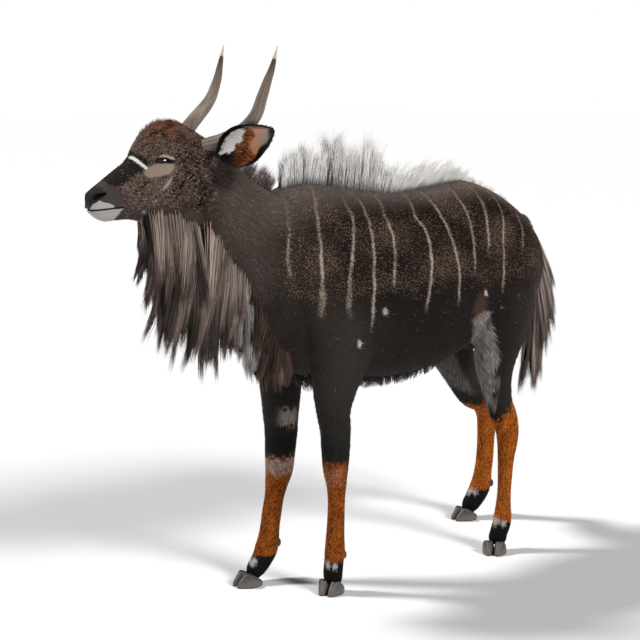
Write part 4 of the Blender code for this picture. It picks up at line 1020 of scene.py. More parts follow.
def turn_and_place(points, chart):
    """Each point's turn round its chart's axis, and its place along that axis from 0 to 1."""
    ahead, left = head_frame(points)
    turn = np.arctan2(points[:, 1], points[:, 2] - STRIPE_AXIS_Z)
    place = (points[:, 0] + 0.50) / 1.14
    neck = chart == NECK_CHART
    low, high = np.array(NECK[0][:3]), np.array(NECK[-1][:3])
    axis = unit(high - low)
    away = points[neck] - low
    turn[neck] = np.arctan2(away[:, 1], away @ np.cross(axis, [0.0, 1.0, 0.0]))
    place[neck] = (away @ axis) / 0.48 + 0.05
    head = chart == HEAD_CHART
    turn[head] = np.arctan2(left[head], points[head, 2] - 1.14)
    place[head] = (ahead[head] + 0.07) / 0.37
    legs = (chart >= LEG_CHART) & (chart < DOCK_CHART)
    centre = leg_centre(points[legs], chart[legs] - LEG_CHART)
    turn[legs] = np.arctan2(points[legs, 1] - centre[:, 1], points[legs, 0] - centre[:, 0])
    place[legs] = points[legs, 2] / (LEG_CHART_Z + 0.03)
    dock = chart == DOCK_CHART
    turn[dock] = np.arctan2(points[dock, 1], points[dock, 0] - 0.655)
    place[dock] = (points[dock, 2] - 0.60) / 0.40
    return turn, np.clip(place, 0.0, 1.0)


def chart_uv(turn, place, chart):
    """The place in the unit square of a turn and a place on a chart."""
    boxes = np.array(CHARTS)[chart]
    across = np.clip((turn + math.pi + 0.15) / (2 * math.pi + 0.30), 0.0, 1.0)
    trunk = chart == 0
    u = np.where(trunk, place, across)
    v = np.where(trunk, across, place)
    return np.stack([boxes[:, 0] + u * boxes[:, 2], boxes[:, 1] + v * boxes[:, 3]], -1)


def root_uv(points):
    chart = chart_of(points)
    return chart_uv(*turn_and_place(points, chart), chart)


def ear_uv(u, v, chart, inside):
    """The left half of an ear's chart is its inside and the right half its back."""
    left, low, wide, high = CHARTS[chart]
    half = np.where(inside, 0.0, 0.5 * wide)
    return np.stack([left + 0.49 * wide * u + half, low + (v + 1) * 0.49 * high], -1)


def unwrap_skin(mesh):
    """Writes the shared unwrap on the skin, each face whole in its own chart."""
    corners = corners_of(mesh)
    points = points_of(mesh)
    middle = points[corners.reshape(-1, 3)].mean(axis=1)
    chart = chart_of(middle)
    start = np.repeat(turn_and_place(middle, chart)[0], 3)
    chart = np.repeat(chart, 3)
    turn, place = turn_and_place(points[corners], chart)
    turn = start + (turn - start + math.pi) % (2 * math.pi) - math.pi
    mesh.uv_layers.new(name="OFBake").data.foreach_set("uv", chart_uv(turn, place, chart).ravel())


def stripe_tone(points):
    """Tan near the back, whiter down the flank."""
    return mixed(TONE["stripe_top"], TONE["stripe"], smooth(trunk_turn(points), 14, 46))


def stripe_share(points):
    """How far each point lies in a white stripe, from 0 to 1."""
    turn = trunk_turn(points)
    rough = 0.0016 * ripple(points, 0.03, 3) + 0.0010 * ripple(points, 0.007, 4)
    fade = 0.86 + 0.22 * clouds(points, 0.05, 5, 1.4)
    share = np.zeros(len(points))
    for number, (table, bright) in enumerate(STRIPES):
        angle, x = np.array(table, float).T
        # Two stripes over the shoulder widen and fade at their lower ends.
        broad = 1.0 + (1.2 * smooth(turn, 72, 95) if number in (1, 2) else 0.0)
        off = np.abs(points[:, 0] + rough - np.interp(turn, angle, x)) / (STRIPE_HALF_WIDTH * broad)
        ends = smooth(turn, angle[0] - 8, angle[0] + 4) * (1 - smooth(turn, angle[-1] - 10, angle[-1] + 8))
        line = (1 - smooth(off, 0.55, 1.35)) / broad
        share = np.maximum(share, np.clip(bright * fade, 0, 1) * ends * line)
    return share * ((points[:, 0] > -0.50) & (points[:, 2] > 0.60))


def spot_share(points):
    """How far each point lies in a white spot on shoulder, flank or haunch."""
    x, y, z = points.T
    share = np.zeros(len(points))
    for spot_x, spot_y, spot_z, radius in SPOTS:
        away = np.sqrt((x - spot_x) ** 2 + (np.abs(y) - spot_y) ** 2 + ((z - spot_z) * 0.75) ** 2)
        share = np.maximum(share, 1 - smooth(away, radius * 0.6, radius * 1.15))
    return share


def orange_share(points):
    """How far each point lies in a leg's orange, between its ragged top and its black pastern."""
    leg = leg_of(points)
    z = points[:, 2] + 0.009 * ripple(points, 0.02, 21) + 0.006 * ripple(points, 0.008, 22)
    behind = points[:, 0] - leg_centre(points, leg)[:, 0] + 0.02
    top = np.array(ORANGE_TOP)[leg] + np.array(ORANGE_RISE)[leg] * behind
    low = points[:, 2] + 0.003 * ripple(points, 0.006, 25)
    sole = np.array(PASTERN_TOP)[leg]
    return (1 - smooth(z, top - 0.006, top + 0.006)) * smooth(low, sole - 0.003, sole + 0.003)


def thigh_share(points):
    """How far each point lies in the long grey patch down the front of a thigh."""
    leg = leg_of(points)
    behind = points[:, 0] - leg_centre(points, leg)[:, 0] + 0.006 * ripple(points * [1, 1, 0.35], 0.02, 28)
    share = patch_share(behind, points[:, 2], THIGH_PATCH, 0.008)
    return share * (leg >= 2) * (np.abs(points[:, 1]) > 0.05) * np.where(leg == 3, 0.45, 1.0)


def leg_colour(points, colour):
    """Black forearms and thighs, orange shanks with a ragged top, black pasterns with white spots."""
    x, y, z = points.T
    leg = leg_of(points)
    on_leg = (z < 0.62) & (np.abs(y) > 0.03)
    centre = leg_centre(points, leg)
    colour = mixed(colour, TONE["leg_black"], on_leg * smooth(0.60 - z, 0.0, 0.10))
    colour = mixed(colour, TONE["pastern"], on_leg * (1 - smooth(z, 0.10, 0.13)))
    shade = 0.5 + 0.5 * np.clip(0.6 * ripple(points, 0.03, 23) + 2.2 * ripple(points, 0.004, 24), -1, 1)
    bright = 1 + 0.45 * (x > 0)[:, None]
    orange = mixed(TONE["leg_orange"] * bright, TONE["orange_dark"], 0.75 * (1 - shade))
    colour = mixed(colour, orange, on_leg * orange_share(points))
    # The forelegs have a pale band above the orange and a pale patch inside the forearm.
    inner = smooth(np.sign(y) * (centre[:, 1] - y), 0.0, 0.012)
    front = smooth(centre[:, 0] - x, -0.02, 0.02)
    ragged = z + 0.010 * ripple(points, 0.012, 26)
    band = smooth(ragged, 0.290, 0.322) * (1 - smooth(ragged, 0.346, 0.356)) * (leg < 2)
    strength = np.where(leg == 1, 0.85, 0.25) * (0.65 + 0.5 * clouds(points, 0.004, 30, 1.5))
    colour = mixed(colour, TONE["leg_pale"], np.clip(strength, 0, 1) * band * np.maximum(inner, 0.7 * front))
    patch = np.exp(-(((x - centre[:, 0] + 0.006) / 0.030) ** 4) - (((ragged - 0.464) / 0.021) ** 4))
    colour = mixed(colour, TONE["leg_pale"], 0.85 * patch * inner * (leg < 2))
    fray = 0.004 * ripple(points, 0.005, 27)
    for *middle, radius in FETLOCK_SPOTS:
        away = np.linalg.norm((points - middle) * [1, 1, 0.9], axis=1)
        spot = 1 - smooth(away + fray, radius * 0.4, radius * 1.5)
        colour = mixed(colour, TONE["leg_white"], 0.8 * spot)
    return colour


def chevron_share(s, left, z):
    """How far each point lies in the white bar between the eyes, the same on both sides."""
    return stroke_share(np.stack([s, np.abs(left), z], -1), CHEVRON, CHEVRON_HALF_WIDTH, 0.0012)


def head_colour(points, colour):
    """The face: black bridge, brown cheeks, reddish crown, white chevron, lips and chin."""
    s, left = head_frame(points)
    z = points[:, 2]
    wave = ripple(points, 0.012, 31)
    on_head = head_share(points, -0.055, 0.0)
    dark = np.clip(0.75 + 0.5 * wave - 0.45 * smooth(s, 0.05, 0.10), 0, 1)
    colour = mixed(colour, mixed(TONE["cheek"], TONE["cheek_dark"], dark), on_head)
    jaw = (1 - smooth(z + 0.02 * smooth(-s, -0.06, 0.0), 1.060, 1.085)) * on_head
    colour = mixed(colour, TONE["jaw"], 0.9 * jaw)
    crown = smooth(z + 0.003 * wave, *CROWN_Z) * on_head
    red = mixed(TONE["crown"], TONE["crown_dark"], np.clip(0.40 + 0.6 * ripple(points, 0.02, 32), 0, 1))
    colour = mixed(colour, red, crown * smooth(s, 0.0, 0.05))
    high = z > HEAD_Z
    rough = [ripple(points, 0.006, seed) for seed in (35, 36)]
    for tone, strength, edge, corners in FACE_PATCHES:
        share = patch_share(s + edge * 0.5 * rough[0], z + edge * 0.5 * rough[1], corners, edge)
        colour = mixed(colour, TONE[tone], strength * share * high)
    colour = mixed(colour, TONE["chevron"], chevron_share(s, left, z) * high)
    off = z - np.interp(s, *np.array(MOUTH_LINE).T)
    return mixed(colour, TONE["black"], bell(off, 0, 0.0021, 4) * smooth(s, 0.202, 0.208) * high)


def coat_colour(points, striped=0.85):
    """The coat's colour at each point, with some painted sheen, the same for the skin and for what grows
    from it.
    """
    x, y, z = points.T
    colour = mixed(TONE["charcoal"], TONE["charcoal_brown"], 0.5 + 0.5 * clouds(points, 0.16, 1))
    back = (1 - smooth(trunk_turn(points), 8, 33)) * smooth(z, 0.90, 1.0)
    stifle = patch_share(x, z, STIFLE_PATCH, 0.012) * (np.abs(y) > 0.05)
    # Back, rump, neck, shoulder, belly and stifle.
    for tone, share in (
        ("grey_back", 0.9 * back),
        ("grey_back", 0.25 * (smooth(x, 0.40, 0.54) * smooth(z, 0.62, 0.75))),
        ("neck_grey", 0.85 * smooth(-x, 0.43, 0.54)),
        ("neck_grey", 0.3 * (bell(x, -0.42, 0.08) * smooth(z, 0.70, 0.85))),
        ("belly", (1 - smooth(z, 0.58, 0.66)) * smooth(x, -0.26, -0.18)),
        ("reddish", 0.35 * stifle),
    ):
        colour = mixed(colour, TONE[tone], share)
    colour = leg_colour(points, colour)
    # Painted sheen: grey mixed into the coat low on the flank, and more of it on shoulder, forearm and
    # haunch, in place of the soft light's sheen on the fur.
    grey = 0.035 + 0.155 * bell(x, -0.31, 0.10) * smooth(z, 0.46, 0.62)
    grey += 0.035 * (x < -0.1) * (1 - smooth(z, 0.46, 0.62)) + 0.10 * smooth(x, 0.28, 0.42)
    grey *= (1 - smooth(z, 0.72, 0.86)) * smooth(z, 0.38, 0.46) * (1 - orange_share(points))
    colour = mixed(colour, TONE["grey_back"], grey)
    streak = 0.80 + 0.30 * clouds(points * [1, 1, 0.25], 0.012, 29)
    colour = mixed(colour, TONE["thigh_grey"], np.clip(0.95 * thigh_share(points) * streak, 0, 1))
    colour = mixed(colour, stripe_tone(points), striped * stripe_share(points))
    colour = mixed(colour, TONE["spot"], spot_share(points))
    return head_colour(points, colour)


def bare_share(points):
    """The smooth skin of the muzzle and under the eyes, where hardly any fur stands up."""
    s, left = head_frame(points)
    z = points[:, 2]
    share = chevron_share(s, left, z)
    for tone, _, _, corners in FACE_PATCHES:
        if tone in ("muzzle", "lip", "tan", "crease", "chin"):
            share = np.maximum(share, patch_share(s, z, corners, 0.0025))
    return share * (z > HEAD_Z)


def skin_tint(points):
    """The skin's colour, darker than the coat's where fur covers it."""
    return coat_colour(points) * (0.62 + 0.38 * bare_share(points))[:, None]


def speck_share(points):
    """How many of the hairs at each point are pale ones."""
    x, z = points[:, 0], points[:, 2]
    turn = trunk_turn(points)
    # The back stays smooth and grey between shoulder and loin, and is speckled before and behind.
    start = 4 + 22 * smooth(x, -0.32, -0.27) * (1 - smooth(x, 0.05, 0.14))
    flank = smooth(turn - start, -6, 12) * (1 - smooth(turn, 82, 104)) * smooth(x, -0.49, -0.44)
    flank *= 1 - smooth(x, 0.44, 0.54)
    share = 0.03 * smooth(z, 0.60, 0.70) + 0.88 * flank * (0.75 + 0.40 * clouds(points, 0.11, 8))
    s = head_frame(points)[0]
    head = head_share(points, -0.04, 0.02)
    bridge = patch_share(s, z, FACE_PATCHES[0][3], 0.004)
    low = 1 - smooth(z, 1.055, 1.085)
    face = head * (0.30 + 0.36 * smooth(s, 0.05, 0.11)) * (1 - 0.9 * bridge) * (1 - 0.8 * low)
    return share * (1 - head) + face * (1 - smooth(s, 0.205, 0.22))


def build_piece(name, points, corners, tint, uv, material, slot, replaced=(), normals=None):
    """A mesh object from numpy arrays of points, triangle corners, colours and corner unwrap."""
    mesh = bpy.data.meshes.new(name)
    mesh.vertices.add(len(points))
    mesh.vertices.foreach_set("co", (points + SHIFT).astype(np.float32).ravel())
    mesh.loops.add(len(corners))
    mesh.loops.foreach_set("vertex_index", corners.astype(np.int32))
    mesh.polygons.add(len(corners) // 3)
    mesh.polygons.foreach_set("loop_start", np.arange(0, len(corners), 3, dtype=np.int32))
    mesh.polygons.foreach_set("use_smooth", np.ones(len(corners) // 3, bool))
    mesh.update(calc_edges=True)
    mesh.uv_layers.new(name="OFBake").data.foreach_set("uv", uv.astype(np.float32).ravel())
    paint(mesh, tint)
    if normals is None:
        face_out(mesh)
    else:
        free = mesh.attributes.new("custom_normal", "FLOAT_VECTOR", "POINT")
        free.data.foreach_set("vector", normals.astype(np.float32).ravel())
    return handed_in(placed(name, mesh), material, slot, *replaced)


def smooth_piece(name, points, faces, tint, material, slot, *replaced):
    """A closed piece with a smooth surface, coloured by its tint when it has one."""
    mesh = bpy.data.meshes.new(name)
    mesh.from_pydata([tuple(p) for p in np.asarray(points) + SHIFT], [], faces)
    face_out(mesh)
    if tint is not None:
        paint(mesh, tint)
    mesh.shade_smooth()
    return handed_in(placed(name, mesh), material, slot, *replaced)


def strands(name, paths, width, across, uv, tint, material, facing, softness, slot):
    """Closed three-sided hairs along paths of (hair, point, xyz), the last point being the tip."""
    count, steps = paths.shape[0], paths.shape[1] - 1
    tangent = unit(np.gradient(paths, axis=1))
    wide = unit(across_way(tangent, np.repeat(across[:, None, :], steps + 1, axis=1)))
    deep = np.cross(tangent, wide)
    half = 0.5 * width[:, None] * np.array(STRAND_SHAPES[steps])[None, :]
    sides = np.stack([wide[:, :steps], 0.8 * deep[:, :steps], -wide[:, :steps]], axis=2)
    points = paths[:, :steps, None, :] + sides * half[:, :, None, None]
    points = np.concatenate([points.reshape(count, steps * 3, 3), paths[:, -1:]], axis=1)
    one = [0, 2, 1]
    offset = []
    for row in range(steps):
        offset += [((k - 1) * 0.5, row / steps - 0.5) for k in range(3)]
        for k in range(3):
            a, b = row * 3 + k, row * 3 + (k + 1) % 3
            one += [a, b, b + 3, a, b + 3, a + 3] if row < steps - 1 else [a, b, steps * 3]
    offset = np.array([*offset, (0.0, 0.5)])
    each = steps * 3 + 1
    corners = (np.arange(count)[:, None] * each + np.array(one)[None, :]).ravel()
    patch = (uv[:, None, :] + offset[None, :, :] * TUFT_PATCH).reshape(-1, 2)
    share = np.append(np.repeat(np.arange(steps) / steps, 3), 1.0)
    colour = np.broadcast_to(tint(share[None, :, None]), (count, each, 3)).reshape(-1, 3)
    radial = np.concatenate([sides.reshape(count, steps * 3, 3), deep[:, -1:]], axis=1)
    normals = unit(between(unit(radial), facing[:, None, :], softness)).reshape(-1, 3)
    build_piece(name, points.reshape(-1, 3), corners, np.clip(colour, 0, 1), patch[corners], material,
                slot, normals=normals)


def root_shaded(base, start, rise):
    """Hair colour darker at the root than towards the tip: painted shade in place of the shade down among
    the hairs.
    """
    return lambda share: base * (start + rise * share)


def turning(first, second, low, high):
    """Hair colour that turns into another between two places along the hair."""
    return lambda share: between(first, second, smooth(share, low, high))


def skin_samples(points, faces, density, count, draw):
    """Evenly spread places on the skin, as dense as the density says, with the face and place in it."""
    a, b, c = (points[faces[:, k]] for k in range(3))
    weight = 0.5 * np.linalg.norm(np.cross(b - a, c - a), axis=1) * density((a + b + c) / 3)
    total = np.cumsum(weight)
    ticks = (np.arange(count) + draw.uniform(0, 1, count)) * total[-1] / count
    pick = np.minimum(np.searchsorted(total, ticks), len(faces) - 1)
    r, t = draw.uniform(0, 1, (2, count))
    flip = r + t > 1
    r[flip], t[flip] = 1 - r[flip], 1 - t[flip]
    at = a[pick] + (b - a)[pick] * r[:, None] + (c - a)[pick] * t[:, None]
    return at, pick, r, t


def lay_of(points, normals):
    """The way that short hair lies: back from the nose, along neck and trunk, down the legs."""
    x, z = points[:, 0], points[:, 2]
    head = smooth(head_frame(points)[0], -0.06, 0.03) * smooth(z, 0.98, 1.04)
    leg = smooth(0.70 - z, 0.0, 0.16)
    haunch = smooth(x, 0.28, 0.45) * (1 - leg)
    flank = np.abs(points[:, 1:2]) / 0.19
    way = np.array([1.0, 0.0, -0.10]) + flank * np.array([-0.15, 0.0, -0.55])
    for share, goal in (
        (haunch, (0.55, 0.0, -0.85)),
        (smooth(-x, 0.40, 0.52), (0.70, 0.0, -0.72)),
        (leg, (0.10, 0.0, -1.0)),
        (head, -HEAD_FORWARD - 0.25 * UP),
    ):
        way = between(way, np.array(goal), share[:, None])
    return unit(across_way(normals, way))


def tuft_density(points):
    """How densely short fur grows: densest on the head, then on the lower legs and speckled flanks."""
    density = 0.70 + 2.3 * speck_share(points) - 0.25 * smooth(trunk_turn(points), 105, 135)
    density *= 1 - 0.6 * (1 - smooth(np.abs(points[:, 1]), 0.02, 0.05)) * (points[:, 2] < 0.75)
    density = between(density, 4.0, head_share(points, -0.05, 0.01))
    density *= 1 - 0.97 * bare_share(points)
    density = between(density, 2.8, shank_share(points, 0.1))
    return density * smooth(points[:, 2], 0.022, 0.032)


def tuft_length(points):
    """How long short fur is, in metres."""
    length = 0.0120 + 0.004 * smooth(-points[:, 0], 0.42, 0.52)
    length = between(length, 0.0062, head_share(points, -0.05, 0.02)) + 0.008 * crown_share(points)
    length = between(length, 0.0060, shank_share(points, 0.1)) + 0.010 * thigh_share(points)
    return length * (1 - 0.5 * head_share(points, 0.17, 0.22)) * (1 - 0.5 * bare_share(points))


def fur(mesh, material):
    """Short flat tufts over the whole skin, one strip of the body to each piece."""
    faces = corners_of(mesh).reshape(-1, 3)
    at, pick, r, t = skin_samples(points_of(mesh), faces, tuft_density, FUR_TUFTS, DRAW)
    normals = normals_of(mesh)
    a, b, c = (normals[faces[pick, k]] for k in range(3))
    normal = unit(a * (1 - r - t)[:, None] + b * r[:, None] + c * t[:, None])
    order = np.argsort(at[:, 0], kind="stable")
    at, normal = at[order], normal[order]
    count = len(at)
    lay = lay_of(at, normal)
    colour = coat_colour(at, 0.5)
    on_head = ((head_frame(at)[0] > -0.03) & (at[:, 2] > HEAD_Z))[:, None]
    striped = DRAW.uniform(0, 1, count) < 1.3 * stripe_share(at)
    pale = DRAW.uniform(0, 1, count) < speck_share(at)
    pale &= (np.mean(colour, axis=1) < 0.12) & ~striped
    # Pale flecks are short, broad hairs that lie on top of the dark ones.
    short = pale | striped
    swing = (DRAW.normal(0, 1, count) * np.where(short, 0.7, 0.24))[:, None]
    lay = unit(lay * np.cos(swing) + np.cross(normal, lay) * np.sin(swing))
    length = tuft_length(at) * DRAW.uniform(0.65, 1.25, count)
    length = np.where(short, DRAW.uniform(0.0018, 0.0036, count), length)
    lift = 0.15 + 0.12 * DRAW.uniform(0, 1, count) + np.where(short, 0.10, 0.45 * crown_share(at))
    tip = at + lay * (length * np.cos(lift))[:, None] + normal * (length * np.sin(lift))[:, None]
    tip += normal * np.where(short, 0.0014, 0.0)[:, None]
    root = at + normal * np.where(short, 0.0008, -0.0012)[:, None]
    width = np.clip(length * 0.19, 0.0012, 0.0026) * DRAW.uniform(0.8, 1.3, count)
    width = np.where(short, 0.0018 * DRAW.uniform(0.7, 1.25, count), width)
    # A pale hair is anything from a faint brown to a bright tan one.
    bright = (0.07 + 0.85 * DRAW.uniform(0, 1, count) ** 1.8)[:, None]
    bright = np.where(on_head, bright * 1.15, bright)
    fleck = np.where(on_head, TONE["face_speck"], TONE["speck"]) * bright
    stripe = stripe_tone(at) * DRAW.uniform(0.6, 1.1, count)[:, None]
    orange = orange_share(at) * (at[:, 2] < SHANK_Z)
    tone = np.exp(DRAW.normal(0, 1, count) * (0.30 + 0.45 * orange))[:, None]
    colour = np.where(pale[:, None], np.maximum(fleck, colour), colour * tone)
    colour = np.where(striped[:, None], stripe, colour)
    wide, uv, paths = np.cross(normal, lay), root_uv(at), np.stack([root, tip], axis=1)
    # Each tuft is darker at its root, which is painted shade among the hairs.
    for number, start in enumerate(range(0, count, FUR_PIECE_TUFTS), 1):
        part = slice(start, min(start + FUR_PIECE_TUFTS, count))
        strands(f"fur_{number}", paths[part], width[part], wide[part], uv[part],
                root_shaded(colour[part][:, None, :], 0.78, 0.34), material, normal[part], 0.75, "coat_dark")


def flow(root, bend, tip, steps=12):
    """Paths along a quadratic curve from root to tip."""
    t = np.linspace(0.0, 1.0, steps + 1)[None, :, None]
    return (1 - t) ** 2 * root[:, None] + 2 * t * (1 - t) * bend[:, None] + t * t * tip[:, None]


def gathered(paths, locks, pull, sway, stray, draw):
    """Draws hairs into pointed, wavy locks round guide hairs.

    Gives the new paths, each hair's lock and its offset from the lock's middle.
    """
    root = paths[:, 0]
    count, points = paths.shape[:2]
    guides = draw.choice(count, locks, replace=False)
    tree = KDTree(locks)
    for number, guide in enumerate(guides):
        tree.insert(Vector(root[guide]), number)
    tree.balance()
    lock = np.array([tree.find(Vector(p))[1] for p in root])
    t = np.linspace(0.0, 1.0, points)[None, :, None]
    strength = np.clip(pull * draw.uniform(0.72, 1.1, count), 0.0, 0.97)[:, None, None]
    goal = paths[guides]
    length = np.linalg.norm(goal[:, -1] - goal[:, 0], axis=1)
    way = unit(draw.normal(size=(locks, 3)))
    phase = draw.uniform(0, 2 * math.pi, locks)[:, None, None]
    turns = draw.uniform(0.5, 1.0, locks)[:, None, None]
    wave = way[:, None, :] * (sway * length)[:, None, None] * t * np.sin(2 * math.pi * turns * t + phase)
    result = paths + (goal[lock] - paths) * strength * t**0.85 + wave[lock]
    own = draw.normal(size=(count, 1, 3)) * (stray * length[lock])[:, None, None]
    result = result + own * t * t
    middle = (points * 3) // 5
    return result, lock, result[:, middle] - (goal + wave)[lock][:, middle]


def trimmed(paths, steps, reach):
    """Each path read at fewer points, up to its own share of the way."""
    fine = paths.shape[1] - 1
    place = np.linspace(0.0, 1.0, steps + 1)[None, :] * reach[:, None] * fine
    low = np.minimum(place.astype(int), fine - 1)
    rows = np.arange(len(paths))[:, None]
    return between(paths[rows, low], paths[rows, low + 1], (place - low)[..., None])


def lock_tone_and_shade(draw, locks, lock, away, radius, swing, shade, gain=0.0):
    """How bright each hair is: as its lock, and darker towards the lock's edge, which is painted shade where
    the locks part.
    """
    edge = np.minimum(np.linalg.norm(away, axis=1) / radius, 1.0)
    tone = draw.normal(0, swing, locks)[lock] + draw.normal(0, 0.10, len(lock)) - shade * edge**2
    return np.exp(tone + gain)[:, None, None]


def on_skin(tree, points):
    """Each point's nearest place on the skin and the skin's way out there."""
    found = [tree.find_nearest(Vector(p)) for p in points]
    return np.array([f[0] for f in found]), np.array([f[1] for f in found])


def row_at(stations, place):
    """Roots, tips and half breadths at shares of the way along a row of hair."""
    table = np.array([(*root, *tip, half) for root, tip, half in stations])
    at = np.clip(place, 0.0, 1.0) * (len(table) - 1)
    row = np.stack([np.interp(at, np.arange(len(table)), column) for column in table.T], axis=-1)
    return row[:, :3], row[:, 3:6], row[:, 6]


def crest(tree, material):
    """White hair that stands along the back, in pointed locks that lean back behind the withers."""
    count, locks = CREST_HAIRS, CREST_LOCKS
    shape = np.random.default_rng(5)
    # Most hairs stand before x = 0.02, and the rest thin out behind it.
    fore = int(count * 0.68)
    front = DRAW.uniform(-0.392, 0.02, fore)
    x = np.concatenate([front, 0.02 + 0.50 * DRAW.uniform(0, 1, count - fore) ** 1.3])
    y = np.clip(DRAW.normal(0, 0.5, count), -1.2, 1.2) * np.interp(x, *np.array(CREST_BREADTH).T)
    root = np.stack([x, y, np.full(count, 1.5)], -1)
    root[:, 2] = [tree.ray_cast(Vector(above), Vector((0, 0, -1)))[0].z - 0.003 for above in root]
    rear = smooth(x, -0.01, 0.05)
    lean = 0.10 + 1.15 * rear + DRAW.normal(0, 0.12, count)
    reach = np.interp(x + 0.08 * lean, *np.array(CREST_TIPS).T) - root[:, 2]
    reach = np.maximum(reach, 0.02) * 1.12
    tip = root + np.stack([reach * lean, y * 1.1 + DRAW.normal(0, 0.007, count), reach], -1)
    bend = root * 0.5 + tip * 0.5 - np.stack([0.12 * reach * lean, 0 * reach, -0.06 * reach], -1)
    paths, lock, _ = gathered(flow(root, bend, tip), locks, 0.66, 0.035, 0.035, DRAW)
    # Each lock leans its own way, more towards its tip.
    t = np.linspace(0, 1, paths.shape[1])[None, :]
    fan = (shape.normal(0, 0.18, locks)[lock] * reach * (1 - 0.5 * rear))[:, None]
    paths[:, :, 0] += fan * t * t
    trim = 1 - 0.55 * DRAW.uniform(0, 1, count) ** 0.60
    trim *= 1 - (shape.uniform(0, 1, locks) ** 1.3)[lock] * (0.18 + 0.34 * rear)
    paths = trimmed(paths, 3, trim)
    tone = np.exp(shape.normal(0, 0.05, locks)[lock] + DRAW.normal(0, 0.07, count))[:, None]
    back = smooth(x, 0.30, 0.50)[:, None]
    base = (TONE["crest"] * (1 - 0.4 * back) + TONE["nape"] * 0.4 * back) * tone
    # Two narrow bands of brown hair cross the white.
    brown = DRAW.uniform(0, 1, count) < 0.02 + 0.80 * bell(x, -0.232, 0.012, 4)
    brown |= DRAW.uniform(0, 1, count) < 0.75 * bell(x, 0.345, 0.008, 4)
    base = np.where(brown[:, None], TONE["crest_brown"] * tone, base)
    width = DRAW.uniform(0.0008, 0.0015, count)
    across = np.stack([np.ones(count), DRAW.normal(0, 0.5, count), np.zeros(count)], -1)
    facing = unit(np.stack([0 * x, np.sign(y) * 0.35 - 0.15, 0.9 + 0 * x], -1))
    uv = root_uv(root)
    for number, part in enumerate((slice(0, count, 2), slice(1, count, 2)), 1):

        def tint(share, base=base[part][:, None, :]):
            """Dark at the very root, white from there on."""
            near = np.clip(1 - share * 14.0, 0, 1)
            return between(base, TONE["crest_root"], near) * (0.90 + 0.10 * share)

        strands(f"hair_crest_{number}", paths[part], width[part], across[part], uv[part], tint, material,
                facing[part], 0.85, "coat_dark")


def hanging(name, stations, count, span, reach, spread, locks, tree, across, colours, material, seed,
            scatter, width=0.0022, pull=0.80, sway=0.035, over=0.0):
    """Hair that grows from the underside and hangs in pointed, overlapping locks."""
    places = scatter.uniform(*span, count)
    sides = scatter.uniform(-reach, reach, count)
    draw = np.random.default_rng(seed)
    root, tip, half = row_at(stations, places)
    across = unit(np.array(across, float))
    offset = across[None, :] * sides[:, None]
    upward = (0.012 + 0.035 * draw.uniform(0, 1, count)) * np.abs(sides)
    seek = root + offset * (half * spread)[:, None] + UP * upward[:, None]
    seek = seek + draw.normal(0, 0.006, (count, 3))
    start, out = on_skin(tree, seek)
    # No hair grows above the fringe's upper edge.
    top = np.interp(start[:, 0], *np.array(RUFF_TOP).T) + draw.normal(0, 0.014, count)
    high = start[:, 2] > top
    seek = np.where(high[:, None], start, seek)
    seek[:, 2] = np.where(high, top - draw.uniform(0.0, 0.06, count), seek[:, 2])
    start, out = on_skin(tree, seek)
    start = start - out * 0.002
    rise = np.linalg.norm(tip - root, axis=1) * 0.12 * np.abs(sides) ** 1.5
    end = tip + offset * (half * 0.80)[:, None] + UP * rise[:, None]
    length = np.linalg.norm(end - start, axis=1)
    bulge = out * (0.15 * length)[:, None]
    bend = start * 0.55 + end * 0.45 + bulge + np.array([0.08, 0, 0]) * length[:, None]
    paths, lock, away = gathered(flow(start, bend, end), locks, pull, sway, 0.010, draw)
    # Each lock swings a little fore or aft, and some lie over the rest and end higher up.
    t = np.linspace(0, 1, paths.shape[1])[None, :]
    swing = (draw.normal(0, 0.07, locks)[lock] - 0.06) * length
    paths[:, :, 0] += swing[:, None] * t * t
    lies_over = (draw.uniform(0, 1, locks) < over)[lock]
    cut = 1 - 0.40 * draw.uniform(0, 1, locks) ** 1.5
    cut = np.where(lies_over, draw.uniform(0.40, 0.68, locks)[lock], cut[lock])
    paths = trimmed(paths, 4, cut * (1 - 0.25 * draw.uniform(0, 1, count) ** 2))
    lift = np.linspace(0, 1, paths.shape[1])[None, :, None] * np.where(lies_over, 0.012, 0.0)[:, None, None]
    paths = paths + (out * 0.4 + offset * 0.8)[:, None, :] * lift
    # Each hair is as bright as its lock, with painted shade towards the lock's edge.
    tone = lock_tone_and_shade(draw, locks, lock, away, 0.015, 0.25, 0.85, 0.23)
    near, far, switch = colours
    front = near(start)[:, None, :] * tone
    ends = far(start)[:, None, :] * tone
    change = (switch + draw.uniform(-0.15, 0.15, locks))[lock][:, None, None]
    wide = np.cross(across, UP) + across * draw.normal(0, 0.5, count)[:, None]
    size = np.minimum(width * draw.uniform(0.6, 1.25, count), length * 0.05)
    facing = unit(out * 0.3 + offset * 0.8 + away / 0.012 * 0.7 + np.array([-0.1, 0.0, 0.1]))
    strands(name, paths, size, wide, root_uv(start), turning(front, ends, change - 0.15, change + 0.30),
            material, facing, 0.55, "coat_dark")


def constant(name):
    """A hair colour that is the same at every root."""
    return lambda points: np.broadcast_to(TONE[name], (len(points), 3))


